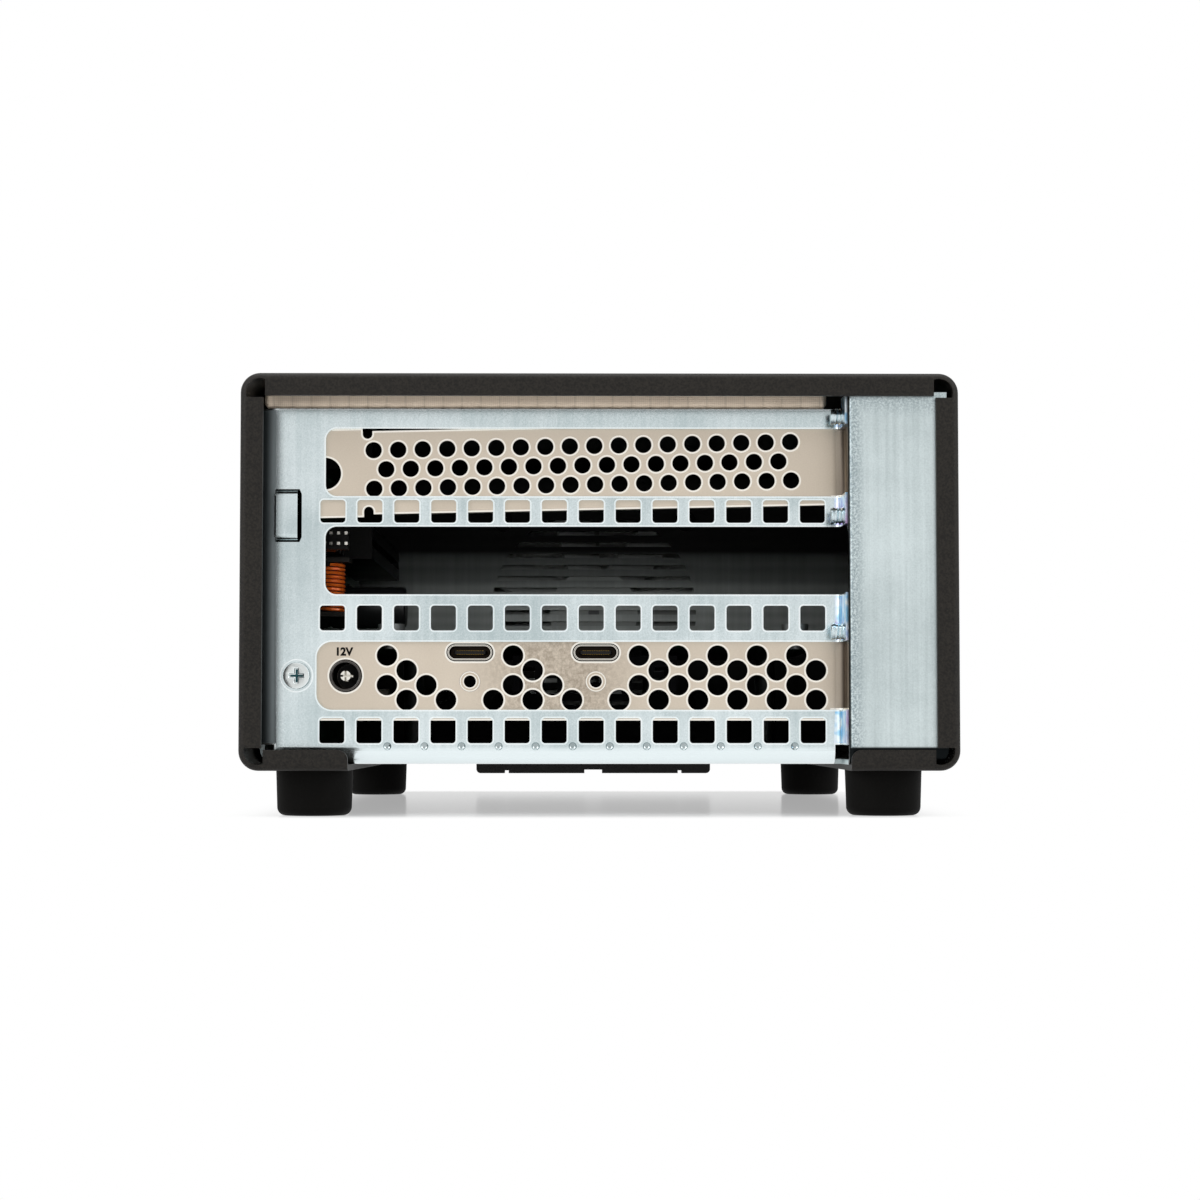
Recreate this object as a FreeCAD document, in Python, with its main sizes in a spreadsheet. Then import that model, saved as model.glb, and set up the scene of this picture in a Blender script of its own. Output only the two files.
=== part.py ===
import FreeCAD, Part
import math
import os
import re

import Sketcher

# Desktop expansion chassis for plug-in cards, seen from its card side at the rear.
# X runs to the right as seen from the rear, Y from the rear rim to the front bezel, Z up.
# The origin lies on the table under the middle of the chassis. Millimetres and degrees.

SIZES = {
    # Black cover: a sheet sleeve with a folded rim round its rear mouth
    "cover_sheet": 1.2,
    "cover_corner": 4.0,
    "rim_width": 4.65,
    "rim_bend": 1.4,
    "rim_slit": 0.4,
    "strip_width": 22.0,
    "strip_flange": 4.2,
    "strip_flange_round": 2.0,
    # Plated card cage: a folded rear panel welded to a folded base
    "cage_sheet": 1.0,
    "cage_clearance": 1.15,
    "cage_corner": 3.2,
    "panel_recess": 13.0,
    "base_bend": 3.5,
    "top_bend": 1.2,
    "top_flange": 10.0,
    "gasket_height": 4.6,
    "gasket_depth": 8.0,
    "gasket_round": 0.75,
    "gasket_end_gap": 3.7,
    "wall_drop": 1.5,
    "wall_bend": 3.5,
    "wall_return": 4.5,
    "base_lap": 8.0,
    "base_end_gap": 5.5,
    # Slots for cards
    "slot_pitch": 20.32,
    "lower_slot_pitch": 23.79,
    "lower_slot_rise": 18.16,
    "slot_headroom": 11.13,
    "window_height": 14.0,
    "window_inset": 13.8,
    "window_corner": 2.3,
    "lower_window_inset": 12.1,
    "lower_window_corner": 3.2,
    # Rows of square vents in the rear panel
    "vent_inset": 15.3,
    "vent_pitch": 7.62,
    "vent_size": 5.15,
    "vent_short": 4.7,
    "vent_corner": 0.7,
    "lower_vent_drop": 4.3,
    "dimple_radius": 1.0,
    "dimple_depth": 0.45,
    "dimple_drop": 3.2,
    # Lanced bridge for a cable tie
    "bridge_inset": 5.9,
    "bridge_drop": 0.9,
    "bridge_width": 4.4,
    "bridge_slit": 0.45,
    "bridge_height": 8.3,
    "bridge_rise": 1.3,
    # Screw ledge and the column that hides the screws
    "ledge_reach": 9.5,
    "ledge_bend": 1.3,
    "ledge_foot": 4.0,
    "ledge_head": 2.2,
    "screw_space": 19.4,
    "column_overlap": 0.6,
    "column_drop": 2.6,
    "column_edge_round": 0.9,
    "column_corner": 1.4,
    "column_bend": 2.0,
    # Card brackets
    "bracket_sheet": 0.86,
    "bracket_length": 117.6,
    "bracket_width": 18.42,
    "bracket_bend": 2.0,
    "bracket_end_gap": 2.6,
    "bracket_end_round": 2.0,
    "tab_length": 11.43,
    "tab_overhang": 2.2,
    "tab_notch": 4.4,
    "tab_screw_rise": 8.9,
    "tab_screw_depth": 6.35,
    # Perforated cover of the upper slot, sitting slightly crooked
    "blank_width": 17.3,
    "blank_tilt": 1.2,
    "blank_flange": 3.2,
    "blank_notch_inset": 17.6,
    "blank_notch_width": 2.0,
    "blank_notch_depth": 0.6,
    "blank_hole": 3.4,
    "blank_hole_pitch": 5.08,
    "blank_row_pitch": 4.0,
    "blank_row_shift": 0.65,
    "blank_first_hole": 19.8,
    "blank_eye_inset": 9.7,
    "blank_eye": 6.6,
    # Connector bracket in the lower slot
    "jack_inset": 18.0,
    "jack_hole": 6.8,
    "jack_barrel": 6.3,
    "jack_bore": 5.5,
    "jack_bore_depth": 9.5,
    "jack_proud": 0.9,
    "jack_pin": 2.1,
    "jack_pin_setback": 0.8,
    "jack_pin_slit": 0.42,
    "jack_body_width": 9.0,
    "jack_body_drop": 5.4,
    "jack_body_depth": 13.0,
    "port_inset": 43.6,
    "port_pitch": 26.0,
    "port_rise": 4.84,
    "port_width": 9.2,
    "port_height": 3.2,
    "port_wall": 0.3,
    "port_depth": 7.5,
    "port_proud": 0.4,
    "port_gap": 0.25,
    "port_tongue_width": 6.7,
    "port_tongue_height": 0.7,
    "port_tongue_setback": 1.2,
    "lock_drop": 1.16,
    "lock_thread": 2.5,
    "lock_shank": 4.2,
    "lock_flange": 5.6,
    "lock_length": 4.0,
    "hole_gap": 0.05,
    "io_hole": 4.25,
    "io_half_pitch": 4.065,
    "io_row_pitch": 3.055,
    "io_top_row_rise": 4.19,
    "io_first_hole": 26.5,
    "ear_width": 7.0,
    "ear_depth": 9.0,
    # Interface board and its parts
    "board_thickness": 1.6,
    "board_short": 11.0,
    "board_right_gap": 3.0,
    "board_edge_gap": 0.5,
    "board_screw_length": 6.4,
    "ear_screw_length": 3.2,
    "chip_side": 21.0,
    "chip_height": 1.4,
    "sink_side": 36.0,
    "sink_base": 2.5,
    "sink_height": 8.0,
    "fin_thickness": 1.6,
    "fin_pitch": 4.9,
    "sink_from_panel": 50.0,
    # Backplane, sockets and power parts
    "backplane_standoff": 5.7,
    "backplane_gap": 9.0,
    "backplane_tail": 11.0,
    "backplane_foot": 3.5,
    "backplane_head": 3.0,
    "socket_width": 7.5,
    "socket_height": 11.25,
    "socket_length": 89.0,
    "socket_from_panel": 47.0,
    "socket_groove": 1.8,
    "socket_groove_depth": 8.0,
    "socket_end_wall": 2.0,
    "finger_depth": 7.2,
    "card_rise": 7.24,
    "choke_from_panel": 30.0,
    "choke_below_slot": 4.0,
    "choke_flange": 8.0,
    "choke_flange_thickness": 1.0,
    "choke_core_radius": 2.2,
    "choke_wire": 1.2,
    "choke_turns": 9,
    "capacitor_radius": 2.5,
    "capacitor_length": 6.0,
    "capacitor_round": 0.4,
    "capacitor_from_panel": 21.0,
    "capacitor_pitch": 7.0,
    # Fan, its bulkhead and the front
    "bay_depth": 173.0,
    "bulkhead_side_gap": 0.3,
    "bulkhead_head": 2.5,
    "bulkhead_flange": 14.0,
    "guard_radius": 28.0,
    "guard_slot": 1.2,
    "guard_pitch": 3.1,
    "fan_side": 60.0,
    "fan_depth": 15.0,
    "fan_rise": 39.0,
    "fan_corner": 3.0,
    "fan_hole_pitch": 50.0,
    "fan_mouth": 58.0,
    "fan_boss": 24.0,
    "fan_boss_depth": 3.0,
    "fan_strut": 3.2,
    "rotor_hub": 24.0,
    "rotor_depth": 9.0,
    "rotor_setback": 1.2,
    "rotor_tip_gap": 0.8,
    "fan_blades": 7,
    "blade_chord": 11.0,
    "blade_thickness": 1.2,
    "blade_pitch": 36.0,
    "blade_tip_pitch": 28.0,
    "shaft_diameter": 3.0,
    "shaft_fit": 0.02,
    "bearing_diameter": 6.0,
    "bearing_clearance": 0.04,
    "fan_space": 7.0,
    "bezel_depth": 8.0,
    "bezel_wall": 3.0,
    "bezel_round": 2.0,
    "skirt_depth": 4.0,
    "skirt_wall": 2.0,
    "skirt_clearance": 0.2,
    "grille_frame": 13.0,
    "grille_corner": 6.0,
    "grille_margin": 4.0,
    "grille_sheet": 1.0,
    "grille_hole": 5.0,
    "grille_pitch": 7.62,
    "grille_row_pitch": 6.6,
    "filter_thickness": 3.0,
    "lip_half_width": 32.9,
    "lip_drop": 4.1,
    "lip_arch_drop": 3.1,
    "lip_arch_half_width": 2.5,
    "lip_notch_place": 24.4,
    "lip_notch_width": 1.2,
    "lip_notch_drop": 3.3,
    "lip_round": 1.2,
    "lamp_diameter": 3.0,
    "lamp_lean": 2.3,
    "lamp_flange": 0.6,
    # Feet and fasteners
    "foot_height": 9.3,
    "foot_top": 15.8,
    "foot_bottom": 15.2,
    "foot_round": 1.7,
    "foot_recess": 8.0,
    "foot_seat": 4.0,
    "foot_inset": 14.0,
    "rear_foot_inset": 15.0,
    "front_foot_inset": 34.0,
    "screw_diameter": 3.0,
    "screw_clearance": 0.15,
    "screw_head": 5.6,
    "screw_head_height": 2.0,
    "rear_screw_head": 5.4,
    "rear_screw_head_height": 1.3,
    "rear_screw_sink": 0.5,
    "rear_screw_ring": 6.3,
    "rear_screw_inset": 8.0,
    "slot_screw_head": 6.4,
    "slot_screw_tip": 2.55,
    "recess_width": 0.8,
    "recess_length": 3.0,
    "recess_depth": 0.9,
    "standoff_diameter": 5.0,
    "seat_gap": 0.15,
    "fan_lead": 2.4,
    "lead_reach": 12.0,
    "lead_rise": 7.2,
    "lead_bend": 4.8,
    "header_inset": 15.0,
    "header_rise": 10.0,
    "header_width": 7.6,
    "header_depth": 5.8,
    "header_height": 3.2,
    "plug_height": 6.0,
}

# Places that follow from the sizes. Each may use the sizes and the places above it.
PLACES = {
    "side": "cover_sheet + cage_clearance + (cage_sheet + bracket_end_gap + bracket_length"
            " + screw_space) / 2",
    "rear": "-(panel_recess + 2 * cage_sheet + bay_depth + fan_depth + fan_space + bezel_depth) / 2",
    "front": "-rear",
    "cover_front": "front - bezel_depth",
    "rim_inner": "rear + cover_sheet",
    "inner_side": "side - cover_sheet",
    "cage_side": "inner_side - cage_clearance",
    "left": "-cage_side",
    "wall_inner": "left + cage_sheet",
    "tongue_end": "wall_inner + bracket_end_gap",
    "ledge": "tongue_end + bracket_length",
    "column_left": "ledge - column_overlap",
    "panel": "rear + panel_recess",
    "panel_inner": "panel + cage_sheet",
    "bracket_inner": "panel_inner + bracket_sheet",
    "tab_end": "panel_inner - tab_length",
    "tab_screw_place": "panel_inner - tab_screw_depth",
    "cage_floor": "foot_height + cover_sheet",
    "base_top": "cage_floor + cage_sheet",
    "lower_slot": "cage_floor + lower_slot_rise",
    "middle_slot": "lower_slot + lower_slot_pitch",
    "upper_slot": "middle_slot + slot_pitch",
    "panel_top": "upper_slot + slot_headroom",
    "inner_top": "panel_top + gasket_height",
    "top": "inner_top + cover_sheet",
    "bulkhead": "panel_inner + bay_depth",
    "fan_rear": "bulkhead + cage_sheet",
    "fan_front": "fan_rear + fan_depth",
    "fan_height": "cage_floor + fan_rise",
    "base_front": "cover_front - base_end_gap",
    "jack_place": "left + jack_inset",
    "port_height_place": "lower_slot + port_rise",
    "board_under": "port_height_place + port_height / 2",
    "board_top": "board_under + board_thickness",
    "board_right": "ledge - board_right_gap",
    "backplane_left": "wall_inner + backplane_standoff",
    "backplane_face": "backplane_left + board_thickness",
    "backplane_rear": "panel_inner + backplane_gap",
    "backplane_bottom": "base_top + backplane_foot",
    "backplane_top": "inner_top - backplane_head",
    "socket_face": "backplane_face + socket_height",
    "socket_rear": "panel_inner + socket_from_panel",
    "socket_front": "socket_rear + socket_length",
    "backplane_front": "socket_front + backplane_tail",
    "board_front": "socket_front - board_short",
    "screw_hole": "screw_diameter / 2 + screw_clearance",
    "foot_place": "side - foot_inset",
    "rear_foot": "rear + rear_foot_inset",
    "front_foot": "front - front_foot_inset",
    "bezel_inner": "front - bezel_wall",
    "grille_side": "side - grille_frame",
    "grille_low": "foot_height + grille_frame",
    "grille_high": "top - grille_frame",
    "lip_bottom": "foot_height - lip_drop",
    "seam": "panel_inner + base_lap",
    "base_edge": "ledge - cage_sheet - ledge_bend",
    "bend_start": "left + wall_bend",
    "window_left": "left + window_inset",
    "lower_window_left": "left + lower_window_inset",
    "blank_low_edge": "upper_slot - blank_width / 2",
    "blank_high_edge": "upper_slot + blank_width / 2",
}

# How far a cutting tool runs past the faces that it opens
PAST = 1.0
NEAR = 1e-3

doc = FreeCAD.newDocument("expansion_chassis")
sheet = doc.addObject("Spreadsheet::Sheet", "Sizes")
for row, (alias, value) in enumerate(SIZES.items(), start=1):
    sheet.set(f"A{row}", alias)
    sheet.set(f"B{row}", str(value))
    sheet.setAlias(f"B{row}", alias)
doc.recompute()

places = doc.addObject("App::VarSet", "Places")


def tied(formula):
    """The formula with every size and place named by the object that holds it."""
    def owner(match):
        word = match.group(0)
        if word in SIZES:
            return "Sizes." + word
        if word in PLACES:
            return "Places." + word
        return word
    return re.sub(r"[a-z_][a-z_0-9]*", owner, str(formula))


for place, formula in PLACES.items():
    places.addProperty("App::PropertyFloat", place)
    places.setExpression(place, tied(formula))
doc.recompute()


probe = doc.addObject("App::VarSet", "Probe")
probe.addProperty("App::PropertyFloat", "reading")


def number(formula):
    """The value in millimetres that a formula has now."""
    probe.setExpression("reading", tied(formula))
    probe.recompute()
    return probe.reading


def bind(obj, formulas):
    """Tie an object's properties to formulas on the sheet."""
    for prop, formula in formulas.items():
        obj.setExpression(prop, tied(formula))
    return obj


def block(name, x, y, z):
    """A box between two formulas along each axis."""
    box = doc.addObject("Part::Box", name)
    sides = zip(("Length", "Width", "Height"), "xyz", (x, y, z))
    for prop, axis, (low, high) in sides:
        bind(box, {prop: f"({high}) - ({low})", f"Placement.Base.{axis}": low})
    return box


TURNS = {
    "x": FreeCAD.Rotation(FreeCAD.Vector(0, 1, 0), 90),
    "y": FreeCAD.Rotation(FreeCAD.Vector(1, 0, 0), -90),
    "z": FreeCAD.Rotation(),
}


def rod(name, axis, centre, span, radius):
    """A cylinder along an axis: centre gives its other two coordinates in order."""
    cylinder = doc.addObject("Part::Cylinder", name)
    cylinder.Placement.Rotation = TURNS[axis]
    low, high = span
    bind(cylinder, {"Radius": radius, "Height": f"({high}) - ({low})"})
    others = [other for other in "xyz" if other != axis]
    bind(cylinder, {f"Placement.Base.{axis}": low})
    for other, formula in zip(others, centre):
        bind(cylinder, {f"Placement.Base.{other}": formula})
    return cylinder


def fuse(name, *pieces):
    """One solid from pieces that meet or overlap."""
    union = doc.addObject("Part::MultiFuse", name)
    union.Shapes = list(pieces)
    union.Refine = True
    return union


def group(name, pieces):
    """Separate solids kept together in one object."""
    compound = doc.addObject("Part::Compound", name)
    compound.Links = list(pieces)
    return compound


def cut(name, base, *tools):
    """The base without its tools."""
    result = doc.addObject("Part::Cut", name)
    result.Base = base
    result.Tool = tools[0] if len(tools) == 1 else fuse(name + "_tools", *tools)
    result.Refine = True
    return result


def common(name, first, second):
    """What two solids share."""
    shared = doc.addObject("Part::Common", name)
    shared.Base = first
    shared.Tool = second
    return shared


def edges_where(shape, axis, places_wanted):
    """Numbers of the straight edges along an axis that lie at the given coordinates."""
    found = []
    for index, edge in enumerate(shape.Edges, start=1):
        ends = [vertex.Point for vertex in edge.Vertexes]
        if len(ends) != 2 or edge.Curve.TypeId != "Part::GeomLine":
            continue
        along = getattr(ends[1] - ends[0], axis)
        if abs(abs(along) - edge.Length) > NEAR:
            continue
        offsets = [abs(getattr(ends[0], a) - at) for a, at in places_wanted.items()]
        if all(offset < NEAR for offset in offsets):
            found.append(index)
    return found


def rounded(name, base, *rounds):
    """A solid with edges rounded: each round is an axis, the edges' places and a radius."""
    base.recompute(True)
    chosen = []
    for axis, wanted, radius in rounds:
        spots = {a: number(formula) for a, formula in wanted.items()}
        size = number(radius)
        chosen += [(index, size, size) for index in edges_where(base.Shape, axis, spots)]
    fillet = doc.addObject("Part::Fillet", name)
    fillet.Base = base
    fillet.Edges = chosen
    return fillet


def corner_rounds(axis, first, second, radius):
    """Rounds for the four edges along an axis where two pairs of sides meet."""
    one, two = [other for other in "xyz" if other != axis]
    return [(axis, {one: a, two: b}, radius) for a in first for b in second]


sub_parts = []


def keep(label, obj):
    """Give a finished sub-part its label and put it on the list to be written."""
    obj.Label = label
    sub_parts.append(obj)
    return obj


def screw(name, axis, centre, seat, towards, length, head="screw_head", height="screw_head_height"):
    """A cross-recessed screw: its head stands on the seat towards + or - along the axis."""
    sign = "+" if towards > 0 else "-"
    back = "-" if towards > 0 else "+"
    face = f"({seat}) {sign} ({height})"
    floor = f"({face}) {back} recess_depth"

    def ordered(start, end):
        return (start, end) if towards > 0 else (end, start)

    head_rod = rod(name + "_head", axis, centre, ordered(seat, face), f"({head}) / 2")
    shank = rod(name + "_shank", axis, centre, ordered(f"({seat}) {back} ({length})", seat),
                "screw_diameter / 2")
    others = [other for other in "xyz" if other != axis]
    arms = []
    for wide, narrow in (others, others[::-1]):
        middle = dict(zip(others, centre))
        spans = {
            axis: ordered(floor, f"({face}) {sign} {PAST}"),
            wide: (f"({middle[wide]}) - recess_length / 2", f"({middle[wide]}) + recess_length / 2"),
            narrow: (f"({middle[narrow]}) - recess_width / 2", f"({middle[narrow]}) + recess_width / 2"),
        }
        arms.append(block(f"{name}_arm_{wide}", spans["x"], spans["y"], spans["z"]))
    return cut(name + "_solid", fuse(name + "_blank", head_rod, shank), *arms)


def plane_of(body, role):
    """One of a body's own origin planes or axes."""
    return next(feature for feature in body.Origin.OriginFeatures if feature.Role == role)


def outline(body, name, plane, corners):
    """A closed sketch of straight lines whose corners are pairs of formulas."""
    sketch = body.newObject("Sketcher::SketchObject", name)
    sketch.AttachmentSupport = [(plane_of(body, plane), "")]
    sketch.MapMode = "FlatFace"
    points = [FreeCAD.Vector(number(u), number(v), 0) for u, v in corners]
    count = len(points)
    for index in range(count):
        sketch.addGeometry(Part.LineSegment(points[index], points[(index + 1) % count]), False)
    for index in range(count):
        sketch.addConstraint(Sketcher.Constraint("Coincident", index, 2, (index + 1) % count, 1))
    for index, (u, v) in enumerate(corners):
        for kind, formula in (("DistanceX", u), ("DistanceY", v)):
            rule = Sketcher.Constraint(kind, -1, 1, index, 1, number(formula))
            place = sketch.addConstraint(rule)
            sketch.setExpression(f"Constraints[{place}]", tied(formula))
    return sketch


def turned(name, corners):
    """A body turned about its own Z axis from an outline of radius and height."""
    body = doc.addObject("PartDesign::Body", name)
    sketch = outline(body, name + "_profile", "XZ_Plane", corners)
    spin = body.newObject("PartDesign::Revolution", name + "_turned")
    spin.Profile = sketch
    spin.ReferenceAxis = (sketch, ["V_Axis"])
    spin.Angle = 360
    body.Tip = spin
    return body


def set_down(body, x, y, z, turn=FreeCAD.Rotation()):
    """Place a body by formulas, turned if need be."""
    body.Placement.Rotation = turn
    return bind(body, {"Placement.Base.x": x, "Placement.Base.y": y, "Placement.Base.z": z})


FOOT_PLACES = {
    "rear_left": ("-foot_place", "rear_foot"),
    "rear_right": ("foot_place", "rear_foot"),
    "front_left": ("-foot_place", "front_foot"),
    "front_right": ("foot_place", "front_foot"),
}

# The screws of these feet also hold the cover to the cage's base
CAGE_FEET = ("front_left", "front_right")

PORTS = {"left": "left + port_inset", "right": "left + port_inset + port_pitch"}
EARS = {"left": "jack_place + jack_body_width", "right": "board_right - ear_width"}
BULKHEAD_SCREWS = {"bulkhead_left": "-fan_side / 2", "bulkhead_right": "fan_side / 2"}
BULKHEAD_SCREW_PLACE = "bulkhead - bulkhead_flange / 2"
HALF_HOLES = "fan_hole_pitch / 2"
FAN_CORNERS = {
    "low_left": (f"-{HALF_HOLES}", f"fan_height - {HALF_HOLES}"),
    "low_right": (HALF_HOLES, f"fan_height - {HALF_HOLES}"),
    "high_left": (f"-{HALF_HOLES}", f"fan_height + {HALF_HOLES}"),
    "high_right": (HALF_HOLES, f"fan_height + {HALF_HOLES}"),
}
LEAD_HOLE = ("-fan_side / 2 - lead_reach", "fan_height - fan_side / 2 + lead_rise")
LAMP = ("grille_side + grille_margin + lamp_lean", "grille_low - grille_margin - lamp_lean")


def make_cover():
    """Sheet sleeve: two bottom strips, closed sides and top, folded rim at the rear."""
    blank = block("cover_blank", ("-side", "side"), ("rear", "cover_front"), ("foot_height", "top"))
    long_edges = corner_rounds("y", ("-side", "side"), ("foot_height", "top"), "cover_corner")
    sleeve = rounded("cover_sleeve", blank, *long_edges)
    doc.recompute()
    rim_loop = [
        (index, number("rim_bend"), number("rim_bend"))
        for index, edge in enumerate(sleeve.Shape.Edges, start=1)
        if abs(edge.BoundBox.YMax - number("rear")) < NEAR
    ]
    outer = doc.addObject("Part::Fillet", "cover_outer")
    outer.Base = sleeve
    outer.Edges = rim_loop

    hollow_box = block("cover_hollow_box", ("-inner_side", "inner_side"),
                       ("rim_inner", f"cover_front + {PAST}"), ("cage_floor", "inner_top"))
    inner_edges = corner_rounds("y", ("-inner_side", "inner_side"), ("cage_floor", "inner_top"),
                                "cover_corner - cover_sheet")
    hollow = rounded("cover_hollow", hollow_box, *inner_edges)
    rim_span = (f"rear - {PAST}", f"rim_inner + {PAST}")
    mouth = block("cover_mouth", ("rim_width - side", "side - rim_width"), rim_span,
                  ("foot_height + strip_flange", "top - rim_width"))
    gap = block("cover_gap", ("strip_width - side", "side - strip_width"),
                (f"rear - {PAST}", f"cover_front + {PAST}"),
                (f"foot_height - {PAST}", f"foot_height + strip_flange + {PAST}"))
    tools = [hollow, mouth, gap]
    corners = {
        "low": ("foot_height + cover_corner", ("cage_floor", "foot_height + strip_flange + rim_slit")),
        "high": ("top - cover_corner", ("top - rim_width - rim_slit", "inner_top")),
    }
    for level, (centre, span) in corners.items():
        for hand, across in (("left", ("-inner_side", "rim_width - side + rim_slit")),
                             ("right", ("side - rim_width - rim_slit", "inner_side"))):
            sign = "-" if hand == "left" else ""
            square = block(f"relief_{level}_{hand}_square", across, rim_span, span)
            disc = rod(f"relief_{level}_{hand}_disc", "y", (f"{sign}(side - cover_corner)", centre),
                       rim_span, "cover_corner - cover_sheet")
            tools.append(common(f"relief_{level}_{hand}", square, disc))
    for place, (x, y) in FOOT_PLACES.items():
        tools.append(rod(f"cover_hole_{place}", "z", (x, y),
                         (f"foot_height - {PAST}", f"cage_floor + {PAST}"), "screw_hole"))
    shell = cut("cover_shell", outer, *tools)
    strip_ends = [("y", {"x": x, "z": "foot_height + strip_flange"}, "strip_flange_round")
                  for x in ("strip_width - side", "side - strip_width")]
    keep("cover", rounded("cover_finished", shell, *strip_ends))


def slot_window(name, slot, inset_edge, corner):
    """Cutter for one card slot: round at its left end, open to the ledge at its right."""
    low = f"{slot} - window_height / 2"
    high = f"{slot} + window_height / 2"
    box = block(name + "_box", (inset_edge, f"ledge + {PAST}"),
                (f"panel - ledge_reach - {PAST}", f"panel_inner + {PAST}"), (low, high))
    return rounded(name, box, *corner_rounds("y", (inset_edge,), (low, high), corner))


def vent_row(name, height, tall):
    """Cutters for one row of rounded square vents, as many as the panel has room for."""
    room = number("(ledge - cage_sheet - ledge_bend) - (left + vent_inset + vent_size / 2)")
    count = int(room / number("vent_pitch")) + 1
    cutters = []
    for index in range(count):
        centre = f"left + vent_inset + {index} * vent_pitch"
        x = (f"{centre} - vent_size / 2", f"{centre} + vent_size / 2")
        z = (f"{height} - ({tall}) / 2", f"{height} + ({tall}) / 2")
        box = block(f"{name}_{index}_box", x, (f"panel - {PAST}", f"panel_inner + {PAST}"), z)
        cutters.append(rounded(f"{name}_{index}", box, *corner_rounds("y", x, z, "vent_corner")))
    return cutters


def dimple_row(count):
    """Cutters for the round dimples between the lowest vents."""
    dimples = []
    for index in range(1, count - 1):
        ball = doc.addObject("Part::Sphere", f"dimple_{index}")
        bind(ball, {
            "Radius": "dimple_radius",
            "Placement.Base.x": f"left + vent_inset + ({index} + 0.5) * vent_pitch",
            "Placement.Base.y": "panel - dimple_radius + dimple_depth",
            "Placement.Base.z": "lower_slot - window_height / 2 - lower_vent_drop - dimple_drop",
        })
        dimples.append(ball)
    return dimples


def cage_envelope():
    """Inside of the cover that rounds the cage's two lower edges."""
    box = block("cage_envelope_box", ("left", "cage_side"), (f"rear - {PAST}", f"front + {PAST}"),
                ("cage_floor", "top"))
    return rounded("cage_envelope", box,
                   *corner_rounds("y", ("left", "cage_side"), ("cage_floor",), "cage_corner"))


def make_card_cage():
    """Plated base with its left wall, and the column that hides the bracket screws."""
    level = ("cage_floor", "base_top")
    base_left = block("cage_base_left", ("left", "base_edge"), ("seam", "base_front"), level)
    base_link = block("cage_base_link", ("base_edge", "column_left"),
                      ("panel_inner + base_bend", "base_front"), level)
    base_right = block("cage_base_right", ("column_left", "cage_side"), ("rim_inner", "base_front"), level)
    column = block("cage_column", ("column_left", "cage_side"), ("rim_inner", "rim_inner + cage_sheet"),
                   ("cage_floor", "inner_top - column_drop"))
    bent_column = rounded(
        "cage_bent_column", fuse("cage_column_and_base", column, base_right),
        ("x", {"y": "rim_inner", "z": "cage_floor"}, "column_bend"),
        ("x", {"y": "rim_inner + cage_sheet", "z": "base_top"}, "column_bend - cage_sheet"),
        ("y", {"x": "column_left", "z": "inner_top - column_drop"}, "column_corner"),
        ("z", {"x": "column_left", "y": "rim_inner"}, "column_edge_round"),
    )
    wall = block("cage_wall", ("left", "wall_inner"), ("panel + wall_return", "base_front"),
                 ("cage_floor", "panel_top - wall_drop"))
    sheet_metal = fuse("cage_sheet_metal", base_left, base_link, bent_column, wall)
    folded = common("cage_folded", sheet_metal, cage_envelope())
    holes = [rod(f"base_hole_{place}", "z", FOOT_PLACES[place],
                 (f"cage_floor - {PAST}", f"base_top + {PAST}"), "screw_hole") for place in CAGE_FEET]
    holes += [rod(f"base_hole_{name}", "z", (x, BULKHEAD_SCREW_PLACE),
                  (f"cage_floor - {PAST}", f"base_top + {PAST}"), "screw_hole")
              for name, x in BULKHEAD_SCREWS.items()]
    keep("card_cage", cut("cage_finished", folded, group("cage_holes", holes)))


def bent_panel_sheet():
    """Rear panel's sheet: screw ledge, return to the left wall, top flange and bent foot."""
    panel_span = ("panel", "panel_inner")
    height = ("cage_floor + ledge_foot", "panel_top")
    plate = block("panel_plate", ("left", "ledge"), panel_span, height)
    ledge_x = ("ledge - cage_sheet", "ledge")
    ledge_box = block("panel_ledge", ledge_x, ("panel - ledge_reach", "panel_inner"), height)
    wall_side = block("panel_return", ("left", "wall_inner"), ("panel", "panel + wall_return"), height)
    bent_sides = rounded(
        "panel_bent_sides", fuse("panel_with_sides", plate, ledge_box, wall_side),
        ("z", {"x": "ledge - cage_sheet", "y": "panel"}, "ledge_bend"),
        ("z", {"x": "ledge", "y": "panel_inner"}, "ledge_bend + cage_sheet"),
        ("z", {"x": "left", "y": "panel"}, "wall_bend"),
        ("z", {"x": "wall_inner", "y": "panel_inner"}, "wall_bend - cage_sheet"),
    )
    ledge_top = block("panel_ledge_top", ledge_x, ("panel - ledge_reach", f"panel - {PAST}"),
                      (f"panel_top - {PAST}", "panel_top + ledge_head"))

    foot_x = ("bend_start", "base_edge")
    skirting = block("panel_skirting", foot_x, panel_span, ("cage_floor", "cage_floor + ledge_foot"))
    lap = block("panel_lap", foot_x, ("panel", "seam"), ("cage_floor", "base_top"))
    bent_foot = rounded(
        "panel_bent_foot", fuse("panel_foot", skirting, lap),
        ("x", {"y": "panel", "z": "cage_floor"}, "base_bend"),
        ("x", {"y": "panel_inner", "z": "base_top"}, "base_bend - cage_sheet"),
    )
    flange_x = ("bend_start", "ledge - gasket_end_gap")
    flange = block("panel_flange", flange_x, ("panel", "panel + top_flange"),
                   ("panel_top - cage_sheet", "panel_top"))
    flange_plate = block("panel_flange_plate", flange_x, panel_span,
                         ("panel_top - top_bend - cage_sheet", "panel_top"))
    bent_flange = rounded(
        "panel_bent_flange", fuse("panel_flange_and_plate", flange, flange_plate),
        ("x", {"y": "panel_inner", "z": "panel_top - cage_sheet"}, "top_bend - cage_sheet"),
    )
    return fuse("panel_sheet", bent_sides, ledge_top, bent_foot, bent_flange)


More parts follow.
